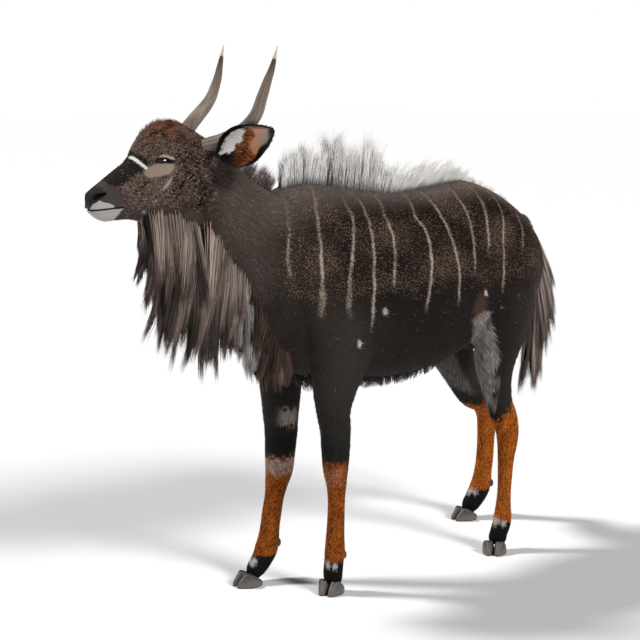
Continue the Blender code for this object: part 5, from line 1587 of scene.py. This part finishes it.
def underside_hair(tree, material):
    """The fringe of the throat, pale in its upper half, and the hair of chest, brisket and belly."""
    draw = np.random.default_rng(23)

    def upper(points):
        """The fringe's upper colour, mostly dark under the chin."""
        ahead = head_frame(points)[0]
        dark = smooth(ahead, 0.132, 0.140) * np.where(draw.uniform(0, 1, len(points)) < 0.8, 1.0, 0.2)
        return mixed(TONE["ruff_light"], TONE["ruff_dark"] * 0.5, dark)

    chest, brisket = constant("chest"), constant("brisket")
    sideways = (0, 1, 0)
    for number in (1, 2):
        hanging(f"hair_ruff_{number}", RUFF, RUFF_HAIRS, (0.0, 0.71), 1.25, 1.1, RUFF_LOCKS, tree,
                -HEAD_LEFT, (upper, constant("ruff_dark"), 0.66), material, 40 + number, draw,
                pull=0.92, sway=0.05, over=0.45)
    hanging("hair_chest", RUFF, CHEST_HAIRS, (0.76, 1.0), 1.6, 1.2, CHEST_LOCKS, tree, sideways,
            (chest, chest, 0.4), material, 44, draw, sway=0.06)
    hanging("hair_brisket", BRISKET, BRISKET_HAIRS, (0.0, 1.0), 1.2, 1.1, BRISKET_LOCKS, tree, sideways,
            (brisket, brisket, 0.4), material, 46, draw, sway=0.06, width=0.0015)
    draw = np.random.default_rng(29)
    hanging("hair_belly", BELLY, BELLY_HAIRS, (0.0, 1.0), 1.3, 1.3, BELLY_LOCKS, tree, sideways,
            (constant("charcoal"), chest, 0.4), material, 45, draw, width=0.0016, pull=0.6)


def nape_hair(tree, material):
    """Thin hair that stands up along the nape."""
    draw = np.random.default_rng(31)
    count, locks = NAPE_HAIRS, NAPE_LOCKS
    root, tip, half = row_at(NAPE, draw.uniform(0, 1, count))
    side = np.clip(draw.normal(0, 0.6, count), -1.3, 1.3)
    start, out = on_skin(tree, root + np.stack([0 * side, side * half, 0 * side], -1))
    tip = tip + np.stack([draw.normal(0, 0.012, count), side * half, 0 * side], -1)
    bend = start * 0.5 + tip * 0.5 + UP * 0.006
    paths, lock, _ = gathered(flow(start - out * 0.002, bend, tip), locks, 0.55, 0.05, 0.05, draw)
    paths = trimmed(paths, 3, 1 - 0.45 * draw.uniform(0, 1, count) ** 0.8)
    tone = np.exp(draw.normal(0, 0.25, locks)[lock] + draw.normal(0, 0.15, count))[:, None, None]
    wide = np.stack([np.ones(count), draw.normal(0, 0.4, count), np.zeros(count)], -1)
    width = draw.uniform(0.0007, 0.0012, count)
    # The nape's hairs are darker at the root, which is painted shade among them.
    strands("hair_nape", paths, width, wide, root_uv(start), root_shaded(TONE["nape"] * tone, 0.45, 0.75),
            material, out, 0.4, "coat_dark")


def tail_hair(material):
    """Long hair down the dock, spread to the sides and behind, in pointed locks that end raggedly."""
    draw = np.random.default_rng(37)
    count, locks = TAIL_HAIRS, TAIL_LOCKS
    dock = along([(x, 0.0, z, r) for x, z, r in DOCK], 200)
    place = draw.uniform(0.16, 0.97, count)
    root = dock[(place * 199).astype(int)]
    # How far round the dock hair grows and how long it is, at four places down the dock.
    limit, length = (np.interp(place, [0.16, 0.36, 0.6, 1.0], values)
                     for values in ([50, 100, 125, 140], [0.22, 0.32, 0.32, 0.31]))
    angle = np.radians(limit * draw.uniform(-1, 1, count))
    out = np.stack([np.cos(angle), np.sin(angle), 0 * angle], -1)
    start = root[:, :3] + out * (root[:, 3] * 0.6)[:, None]
    low = np.maximum(start[:, 2] - length, TAIL_LOW_Z)
    narrow = np.clip((low - TAIL_LOW_Z) / 0.12, 0.55, 1.0)
    middle = TAIL_HAIR_X - 0.050 * np.clip((0.60 - low) / 0.19, 0.0, 1.0)
    tip = np.stack([middle, 0 * low, low], -1) + out * (TAIL_HAIR_HALF_BREADTH * 0.95 * narrow)[:, None]
    bulge = np.interp(place, [0.16, 0.5, 1.0], [0.022, 0.018, 0.014])
    bend = start * 0.55 + tip * 0.45 + out * bulge[:, None]
    paths, lock, away = gathered(flow(start, bend, tip), locks, 0.85, 0.03, 0.010, draw)
    cut = (1 - 0.42 * draw.uniform(0, 1, locks) ** 1.6)[lock]
    paths = trimmed(paths, 4, cut * (1 - 0.25 * draw.uniform(0, 1, count) ** 2))
    # Each hair is as bright as its lock, with painted shade towards the lock's edge.
    tone = lock_tone_and_shade(draw, locks, lock, away, 0.014, 0.26, 0.6)
    colours = turning(TONE["tail"] * tone, TONE["tail_dark"] * tone, 0.50, 1.0)
    wide = np.cross(out, UP) + out * draw.normal(0, 0.5, count)[:, None]
    width = draw.uniform(0.0014, 0.0026, count)
    facing = unit(out * 0.8 + away / 0.012 * 0.7)
    strands("hair_tail", paths, width, wide, root_uv(start), colours, material, facing, 0.55, "hair_tail")


def ear_surface(name, rows=60, columns=48):
    """The ear's cup as a grid of points: a funnel at the skull that flattens to its tip."""
    base, tip, aim = (head_point(*place) for place in EARS[name])
    length = np.linalg.norm(tip - base)
    axis = (tip - base) / length
    opening = unit(across_way(axis, aim - HEAD_AT))
    across = np.cross(axis, opening)
    shares, radii, swings = np.array(EAR_SECTIONS).T
    u = np.linspace(0.0, 1.0, rows)
    v = np.linspace(-1.0, 1.0, columns)
    radius, swing = (
        np.convolve(np.pad(np.interp(u, shares, values), 3, mode="edge"), np.ones(7) / 7, mode="valid")
        for values in (radii, swings)
    )
    turn = np.radians(swing)[:, None] * v[None, :]
    arch = np.sin(math.pi * u)[:, None]
    spine = base + axis * (length * (u - 0.04))[:, None] - opening * 0.006 * arch - UP * 0.0027 * arch
    out = opening * (1 - np.cos(turn))[..., None] + across * np.sin(turn)[..., None]
    return spine[:, None, :] + out * radius[:, None, None], u, v, opening


def ear_tint(u, v, inside):
    """Black with a white patch near the base, an orange band, a bare middle and grey near the tip."""
    flat = np.stack([u, v, 0 * u], -1)
    a = u + 0.012 * ripple(flat, 0.07, 61)
    b = v + 0.030 * ripple(flat, 0.09, 62)
    fleck = 0.5 + 0.5 * clouds(flat, 0.035, 63, 1.5)
    orange = mixed(TONE["ear_black"] * 1.4, TONE["ear_orange"], fleck * smooth(u, 0.12, 0.42))
    rim = stroke_share(flat[:, :2], EAR_LIGHT_RIM, 0.028, 0.02)
    colour = np.broadcast_to(TONE["ear_black"], (len(u), 3))
    for tone, share in (
        (orange, patch_share(a, b, EAR_ORANGE, 0.03)),
        (TONE["ear_bare"], patch_share(u, v, EAR_BARE, 0.035)),
        (TONE["ear_grey"], 0.8 * patch_share(u, v, EAR_GREY, 0.07)),
        (TONE["ear_white"], patch_share(a, b, EAR_WHITE, 0.014)),
        (TONE["ear_grey"], 0.7 * rim),
    ):
        colour = mixed(colour, tone, share)
    black = np.clip(smooth(np.abs(v), 0.8, 0.95) + smooth(u, 0.8, 1.0), 0, 1)
    return mixed(mixed(TONE["ear_back"], TONE["ear_black"], black), colour, inside)


def ear(name, chart, material):
    """A thin cup of real thickness, thickest at the base, with its inside and outside coloured."""
    grid, u, v, opening = ear_surface(name)
    rows, columns = grid.shape[:2]
    normal = unit(np.cross(np.gradient(grid, axis=0), np.gradient(grid, axis=1)))
    normal *= np.sign(np.sum(normal * opening, axis=-1).mean())
    half = normal * (EAR_THICKNESS * (0.5 + 0.5 * (1 - np.abs(v) ** 6)))[None, :, None] * 0.5
    points = np.concatenate([(grid + half).reshape(-1, 3), (grid - half).reshape(-1, 3)])
    count = rows * columns
    faces = []
    for row in range(rows - 1):
        for k in range(columns - 1):
            a = row * columns + k
            faces.append((a, a + 1, a + columns + 1, a + columns))
            faces.append(tuple(count + i for i in (a, a + columns, a + columns + 1, a + 1)))
    # The rim joins inside and outside all round the cup.
    edge = [row * columns for row in range(rows)]
    edge += [(rows - 1) * columns + k for k in range(1, columns)]
    edge += [row * columns + columns - 1 for row in range(rows - 2, -1, -1)]
    edge += range(columns - 2, 0, -1)
    for first, second in zip(edge, edge[1:] + edge[:1]):
        faces.append((second, first, first + count, second + count))
    corners = np.array(faces)[:, [0, 1, 2, 0, 2, 3]].ravel()
    uu, vv = (side.ravel() for side in np.meshgrid(u, v, indexing="ij"))
    tint = np.concatenate([ear_tint(uu, vv, share) for share in (1.0, 0.0)])
    both = np.concatenate([ear_uv(uu, vv, chart, inside) for inside in (True, False)])
    build_piece(name + "_shell", points, corners, tint, both[corners], material, "ear", [name])
    return grid, normal


def ear_hair(name, chart, grid, normal, material):
    """White and dark hair inside the cup and short hair on its back and rim."""
    draw = np.random.default_rng(51 + chart)
    rows, columns = grid.shape[:2]
    count = EAR_HAIRS
    u = draw.uniform(0.02, 0.66, count)
    v = draw.uniform(-0.97, 0.97, count)
    inside = draw.uniform(0, 1, count) < 0.80
    u = np.where(inside, u, draw.uniform(0.0, 0.97, count))
    bald = inside & (patch_share(u, v, EAR_BARE, 0.01) > 0.5)
    u = np.where(bald, u * 0.5, u)
    i = (u * (rows - 1)).astype(int)
    j = ((v + 1) / 2 * (columns - 1)).astype(int)
    out = normal[i, j] * np.where(inside, 1.0, -1.0)[:, None]
    at = grid[i, j] + out * 0.0012
    axis = unit(grid[-1, columns // 2] - grid[0, columns // 2])
    white = patch_share(u, v, EAR_WHITE, 0.01) > 0.5
    length = np.where(inside, draw.uniform(0.005, 0.009, count), draw.uniform(0.004, 0.007, count))
    length = np.where(inside & white, draw.uniform(0.010, 0.016, count), length)
    tip = at + axis * (length * 0.88)[:, None] + out * (length * 0.22)[:, None]
    tip += draw.normal(0, 0.0009, (count, 3))
    bright = np.exp(draw.normal(0, 1, count) * np.where(white, 0.08, 0.40))[:, None]
    colour = ear_tint(u, v, inside * 1.0) * bright
    paths = np.stack([at - out * 0.001, (at + tip) / 2 + out * 0.0006, tip], axis=1)
    width = draw.uniform(0.0010, 0.0018, count)
    # The ear's hairs are darker at the root, which is painted shade among them.
    strands(name + "_hair", paths, width, np.cross(axis, out), ear_uv(u, v, chart, inside),
            root_shaded(colour[:, None, :], 0.8, 0.25), material, out, 0.6, "ear")


def horn(name, material):
    """A smooth tapering horn with faint rings near its base and a keel that turns with it."""
    centre = np.array([head_point(*p) for p in along(HORNS[name], 120)])
    tangent = unit(np.gradient(centre, axis=0))
    run = np.append(0.0, np.cumsum(np.linalg.norm(np.diff(centre, axis=0), axis=1)))
    to_tip = run[-1] - run
    radius = np.maximum(HORN_BASE_RADIUS * (1 - np.exp(-to_tip / HORN_TAPER)), HORN_TIP_RADIUS)
    sides = 28
    angle = np.linspace(0, 2 * math.pi, sides, endpoint=False)
    cos, sin = np.cos(angle), np.sin(angle)
    side = unit(np.cross(tangent, HEAD_FORWARD))
    rings, tints = [], []
    for middle, s, w, r, left in zip(centre, side, np.cross(side, tangent), radius, to_tip):
        t = 1 - left / run[-1]
        keel = 1 + 0.07 * np.exp(-((np.angle(np.exp(1j * (angle - 0.6 - 2.2 * t))) / 0.5) ** 2)) * (1 - t)
        size = r * keel * (1 + 0.018 * np.sin(190 * t) * np.clip(1 - t * 1.6, 0, 1)) * 0.97
        rings.append(middle + (s * cos[:, None] + w * sin[:, None]) * size[:, None])
        tints.append(np.stack([np.full(sides, t), 0.5 + 0.5 * cos, 0.5 + 0.5 * sin], -1))
    points, faces = loft(rings)
    smooth_piece(name + "_keratin", points, faces, np.concatenate(tints), material, "horn", name)


def toe_node(kind, foot, side):
    """The frame's node for the outer or inner claw or dewclaw of a foot."""
    return f"{kind}_{foot}_" + ("outer" if (side > 0) == foot.endswith("left") else "inner")


def claw(foot, side, material):
    """One hoof of a foot: flat below, pointed ahead, its coronet falling to a low heel."""
    x, y, heading = FEET[foot]
    turn = math.radians(heading)
    forward = np.array([-math.cos(turn), math.sin(turn), 0.0])
    left = np.array([-math.sin(turn), -math.cos(turn), 0.0])
    rings = []
    for height, toe, heel, broad in along(CLAW_LEVELS, 22):
        middle, reach = 0.5 * (toe + heel) * CLAW_LENGTH, 0.5 * (toe - heel) * CLAW_LENGTH
        groove = 1 - 0.006 * math.sin(height * 1900)
        ring = []
        for angle in np.linspace(0, 2 * math.pi, 40, endpoint=False):
            to_toe = max(math.cos(angle), 0.0)
            beside = 0.5 * CLAW_WIDTH * broad * math.sin(angle) * (1.0 - 0.30 * to_toe) * groove
            inward = side * 0.005 * to_toe * toe / 0.5
            point = np.array([x, y, 0.0]) + forward * (middle + reach * math.cos(angle))
            ring.append(point + left * (side * CLAW_SPREAD + beside - inward) + UP * max(height, 0.0))
        rings.append(np.array(ring))
    points, faces = loft(rings)
    node = toe_node("hoof", foot, side)
    smooth_piece(node + "_wall", points, faces, None, material, "hoof", node)


def eye(side, name, material):
    """A flattened ball coloured by its distance from a wide, level pupil."""
    centre, look, front = eye_frame(side)
    angle = np.linspace(0, 2 * math.pi, 48, endpoint=False)
    cos, sin = np.cos(angle), np.sin(angle)
    level = front * (EYE_RADII[0] * cos)[:, None] + UP * (EYE_RADII[1] * sin)[:, None]
    rings, tints = [], []
    for rise in np.linspace(-math.pi / 2 * 0.98, math.pi / 2 * 0.98, 40):
        size, out = math.cos(rise), math.sin(rise)
        rings.append(centre + look * (EYE_RADII[2] * out) + level * size)
        pupil = np.hypot(size * cos / 0.42, size * sin / 0.45)
        share = np.clip(pupil / 2, 0, 1) if out > 0 else np.ones(48)
        tints.append(np.stack([share] * 3, -1))
    points, faces = loft(rings)
    return smooth_piece(name + "_ball", points, faces, np.concatenate(tints), material, "eye", name)


def lids(side, face, material):
    """Upper and lower lid as one ring of skin round the almond of the open eye."""
    columns = 72
    points = []
    for long, tall, lift in LID_ROWS:
        for turn in np.linspace(0, 2 * math.pi, columns, endpoint=False):
            rise = math.sin(turn)
            s = EYE_OPENING[0] + long * math.cos(turn)
            z = EYE_OPENING[1] + tall * math.copysign(abs(rise) ** 1.15, rise) - 0.04 * long * math.cos(turn)
            hit = face.ray_cast(Vector(head_point(s, side * 0.14, z)), Vector(-HEAD_LEFT * side))[0]
            out = (np.array(hit) - HEAD_AT) @ HEAD_LEFT * side
            # The upper lid overhangs the eye a little.
            hood = 0.0008 * max(rise, 0.0) * (long < 0.017)
            points.append(head_point(s, side * (out + lift + hood), z))
    points = np.array(points)
    corners = []
    for row in range(len(LID_ROWS) - 1):
        for k in range(columns):
            p, q = row * columns + k, row * columns + (k + 1) % columns
            corners += [p, q, q + columns, p, q + columns, p + columns]
    corners = np.array(corners)
    ring = np.repeat(np.arange(len(LID_ROWS)), columns)
    tint = mixed(skin_tint(points), TONE["black"], 1 - smooth(ring, 2.0, 4.0))
    name = "lids_" + ("left" if side > 0 else "right")
    piece = build_piece(name, points, corners, tint, root_uv(points)[corners], material, "coat_head")
    solid = piece.modifiers.new("depth", "SOLIDIFY")
    solid.thickness = 0.0008
    solid.offset = -1.0


def dress_skin(skin, material):
    """Colours and unwraps the skin, and makes it stand for the nodes of flesh."""
    mesh = skin.data
    unwrap_skin(mesh)
    points = points_of(mesh)
    paint(mesh, skin_tint(points))
    mesh.vertices.foreach_set("co", (points + SHIFT).ravel())
    mesh.shade_smooth()
    handed_in(skin, material, "coat_dark", "head", "neck", "torso", "tail", *LEGS)


def feed(tree, node, inputs):
    """Sets a shader node's inputs, each to a value or to the socket that it is linked from."""
    for key, value in inputs.items():
        if isinstance(value, bpy.types.NodeSocket):
            tree.links.new(value, node.inputs[key])
        else:
            node.inputs[key].default_value = value


def add_node(tree, kind, inputs, **settings):
    """A new shader node with its settings and inputs."""
    node = tree.nodes.new("ShaderNode" + kind)
    for key, value in settings.items():
        setattr(node, key, value)
    feed(tree, node, inputs)
    return node


def surface(name, roughness, specular=None):
    """A new Principled material with its node tree and its shader."""
    material = bpy.data.materials.new(name)
    material.use_nodes = True
    tree = material.node_tree
    shader = tree.nodes["Principled BSDF"]
    shader.inputs["Roughness"].default_value = roughness
    if specular is not None:
        shader.inputs["Specular IOR Level"].default_value = specular
    return material, tree, shader


def own_tint(tree):
    return add_node(tree, "VertexColor", {}, layer_name="tint").outputs["Color"]


def ramp(tree, source, stops):
    """A colour ramp over its stops of place and colour."""
    node = add_node(tree, "ValToRGB", {"Fac": source})
    places = node.color_ramp.elements
    for place, (at, colour) in zip(places, (stops[0], stops[-1])):
        place.position = at
        place.color = (*colour, 1)
    for at, colour in stops[1:-1]:
        places.new(at).color = (*colour, 1)
    return node.outputs["Color"]


def looks(stops):
    """Colour stops as light, from how they look on a screen."""
    return [(at, linear(colour)) for at, colour in stops]


def noise(tree, vector, scale, detail):
    return add_node(tree, "TexNoise", {"Vector": vector, "Scale": scale, "Detail": detail}).outputs


def times(tree, value, factor):
    return add_node(tree, "Math", {0: value, 1: factor}, operation="MULTIPLY").outputs[0]


def darkened(tree, factor, first, second):
    """The first colour multiplied by some of the second."""
    inputs = {"Factor": factor, "A": first, "B": second}
    return add_node(tree, "Mix", inputs, data_type="RGBA", blend_type="MULTIPLY").outputs["Result"]


def bumped(tree, height, strength, distance):
    inputs = {"Height": height, "Strength": strength, "Distance": distance}
    return add_node(tree, "Bump", inputs).outputs["Normal"]


def tinted_material(name, roughness, specular, grain=0.0):
    """A material whose colour comes from the mesh's own tint, with a fine grain on bare skin."""
    material, tree, shader = surface(name, roughness, specular)
    feed(tree, shader, {"Base Color": own_tint(tree)})
    if grain:
        place = add_node(tree, "TexCoord", {}).outputs["Object"]
        height = noise(tree, place, 420.0, 3.0)["Fac"]
        feed(tree, shader, {"Normal": bumped(tree, height, grain, 0.0010)})
    return material


def horn_material():
    """Keratin with light and dark streaks that run along the horn."""
    material, tree, shader = surface("horn_keratin", 0.45, 0.12)
    split = add_node(tree, "SeparateColor", {"Color": own_tint(tree)}).outputs
    # The noise is three times finer along the horn's length and five times finer round it.
    stretched = {k: times(tree, split[axis], scale) for k, (axis, scale) in enumerate(
        (("Red", 3.0), ("Green", 5.0), ("Blue", 5.0)))}
    streaks = noise(tree, add_node(tree, "CombineXYZ", stretched).outputs[0], 1.4, 6.0)["Fac"]
    tone = ramp(tree, streaks, [(0.36, (0.45, 0.42, 0.40)), (0.64, (1.2, 1.17, 1.15))])
    colour = darkened(tree, 0.8, ramp(tree, split["Red"], looks(HORN_COLOURS)), tone)
    feed(tree, shader, {"Base Color": colour, "Normal": bumped(tree, streaks, 0.35, 0.002)})
    return material


def hoof_material():
    """Taupe horn, mottled, with a darker sole edge."""
    material, tree, shader = surface("hoof_horn", 0.5)
    place = add_node(tree, "NewGeometry", {}).outputs["Position"]
    height = add_node(tree, "SeparateXYZ", {0: place}).outputs["Z"]
    colour = ramp(tree, times(tree, height, 1.0 / CLAW_HEIGHT), looks(HOOF_COLOURS))
    mottle = noise(tree, place, 120.0, 4.0)["Color"]
    feed(tree, shader, {"Base Color": darkened(tree, 0.5, colour, mottle)})
    return material


def eye_material():
    """A dark brown iris round a wide level pupil, under a wet surface."""
    material, tree, shader = surface("eye_wet", 0.05, 0.35)
    feed(tree, shader, {"Base Color": ramp(tree, own_tint(tree), looks(EYE_COLOURS))})
    return material


def aimed(way):
    """The turn that points a camera or a lamp along a way."""
    return Vector(way).to_track_quat("-Z", "Y").to_euler()


def lamp(name, kind, power, way):
    """A lamp that shines from the given way."""
    holder = placed(name, bpy.data.lights.new(name, kind))
    holder.data.energy = power
    holder.rotation_euler = aimed(-np.array(way))
    return holder


def studio(mirrors):
    """The camera, a pale floor and soft light from two sides."""
    scene = bpy.context.scene
    scene.view_settings.view_transform = "Standard"
    scene.view_settings.look = "None"
    scene.view_settings.exposure = 0.0
    scene.view_settings.gamma = 1.0
    away = np.array([
        -math.sin(VIEW_AZIMUTH) * math.cos(VIEW_ELEVATION),
        -math.cos(VIEW_AZIMUTH) * math.cos(VIEW_ELEVATION),
        math.sin(VIEW_ELEVATION),
    ])
    scene.camera = placed("camera", bpy.data.cameras.new("camera"))
    scene.camera.data.lens = LENS_MM
    scene.camera.data.sensor_width = SENSOR_MM
    scene.camera.location = VIEW_TARGET + SHIFT + away * VIEW_DISTANCE
    scene.camera.rotation_euler = aimed(-away)

    # The backdrop is white to the camera and a weaker fill light for the animal.
    world = bpy.data.worlds.new("studio")
    world.use_nodes = True
    tree = world.node_tree
    fill = tree.nodes["Background"]
    feed(tree, fill, {"Color": (1, 1, 1, 1), "Strength": AMBIENT})
    white = add_node(tree, "Background", {"Color": (1, 1, 1, 1), "Strength": 1.0})
    seen = add_node(tree, "LightPath", {}).outputs["Is Camera Ray"]
    choose = add_node(tree, "MixShader", {0: seen, 1: fill.outputs[0], 2: white.outputs[0]})
    feed(tree, tree.nodes["World Output"], {"Surface": choose.outputs[0]})
    scene.world = world

    mesh = bpy.data.meshes.new("floor")
    corners = [(x * FLOOR_HALF, y * FLOOR_HALF, 0) for x, y in ((-1, -1), (1, -1), (1, 1), (-1, 1))]
    mesh.from_pydata(corners, [], [(0, 1, 2, 3)])
    material, tree, shader = surface("floor_pale", 0.95)
    feed(tree, shader, {"Base Color": (*linear(FLOOR_COLOUR), 1)})
    mesh.materials.append(material)
    placed("floor", mesh)

    for name, way, strength, angle in SUNS:
        lamp(name, "SUN", strength, way).data.angle = math.radians(angle)
    # A soft box that only the eyes mirror, where the camera sees its glint on the near eye.
    eye_at, look, front = eye_frame(1)
    view = unit(VIEW_TARGET + away * VIEW_DISTANCE - eye_at)
    facing = unit(look + 0.22 * front + 0.08 * UP)
    way = 2 * (facing @ view) * facing - view
    glint = lamp("glint", "AREA", GLINT_POWER, way)
    glint.data.size = GLINT_SIZE
    glint.location = eye_at + way * GLINT_DISTANCE + SHIFT
    eyes = bpy.data.collections.new("eyes")
    for piece in mirrors:
        eyes.objects.link(piece)
    glint.light_linking.receiver_collection = eyes


def main():
    fur_material = tinted_material("fur", 0.65, 0.04)
    hair_material = tinted_material("long_hair", 0.50, 0.15)
    skin_material = tinted_material("skin", 0.72, 0.08, grain=0.5)
    smooth_skin = tinted_material("ear_skin", 0.60, 0.25)
    skin, face = fused_skin()
    tree = tree_of(points_of(skin.data), skin.data)
    fur(skin.data, fur_material)
    crest(tree, hair_material)
    underside_hair(tree, hair_material)
    nape_hair(tree, hair_material)
    tail_hair(hair_material)
    for side in (1, -1):
        lids(side, face, skin_material)
    dress_skin(skin, skin_material)
    for chart, name in enumerate(EARS, EAR_CHART):
        ear_hair(name, chart, *ear(name, chart, smooth_skin), fur_material)
    keratin, hoof, wet = horn_material(), hoof_material(), eye_material()
    for name in HORNS:
        horn(name, keratin)
    studio([eye(side, name, wet) for side, name in ((1, "eye_left"), (-1, "eye_right"))])
    for foot in FEET:
        for side in (1, -1):
            claw(foot, side, hoof)
            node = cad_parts[toe_node("dewclaw", foot, side)]
            node.data.materials.clear()
            node.data.materials.append(hoof)


main()
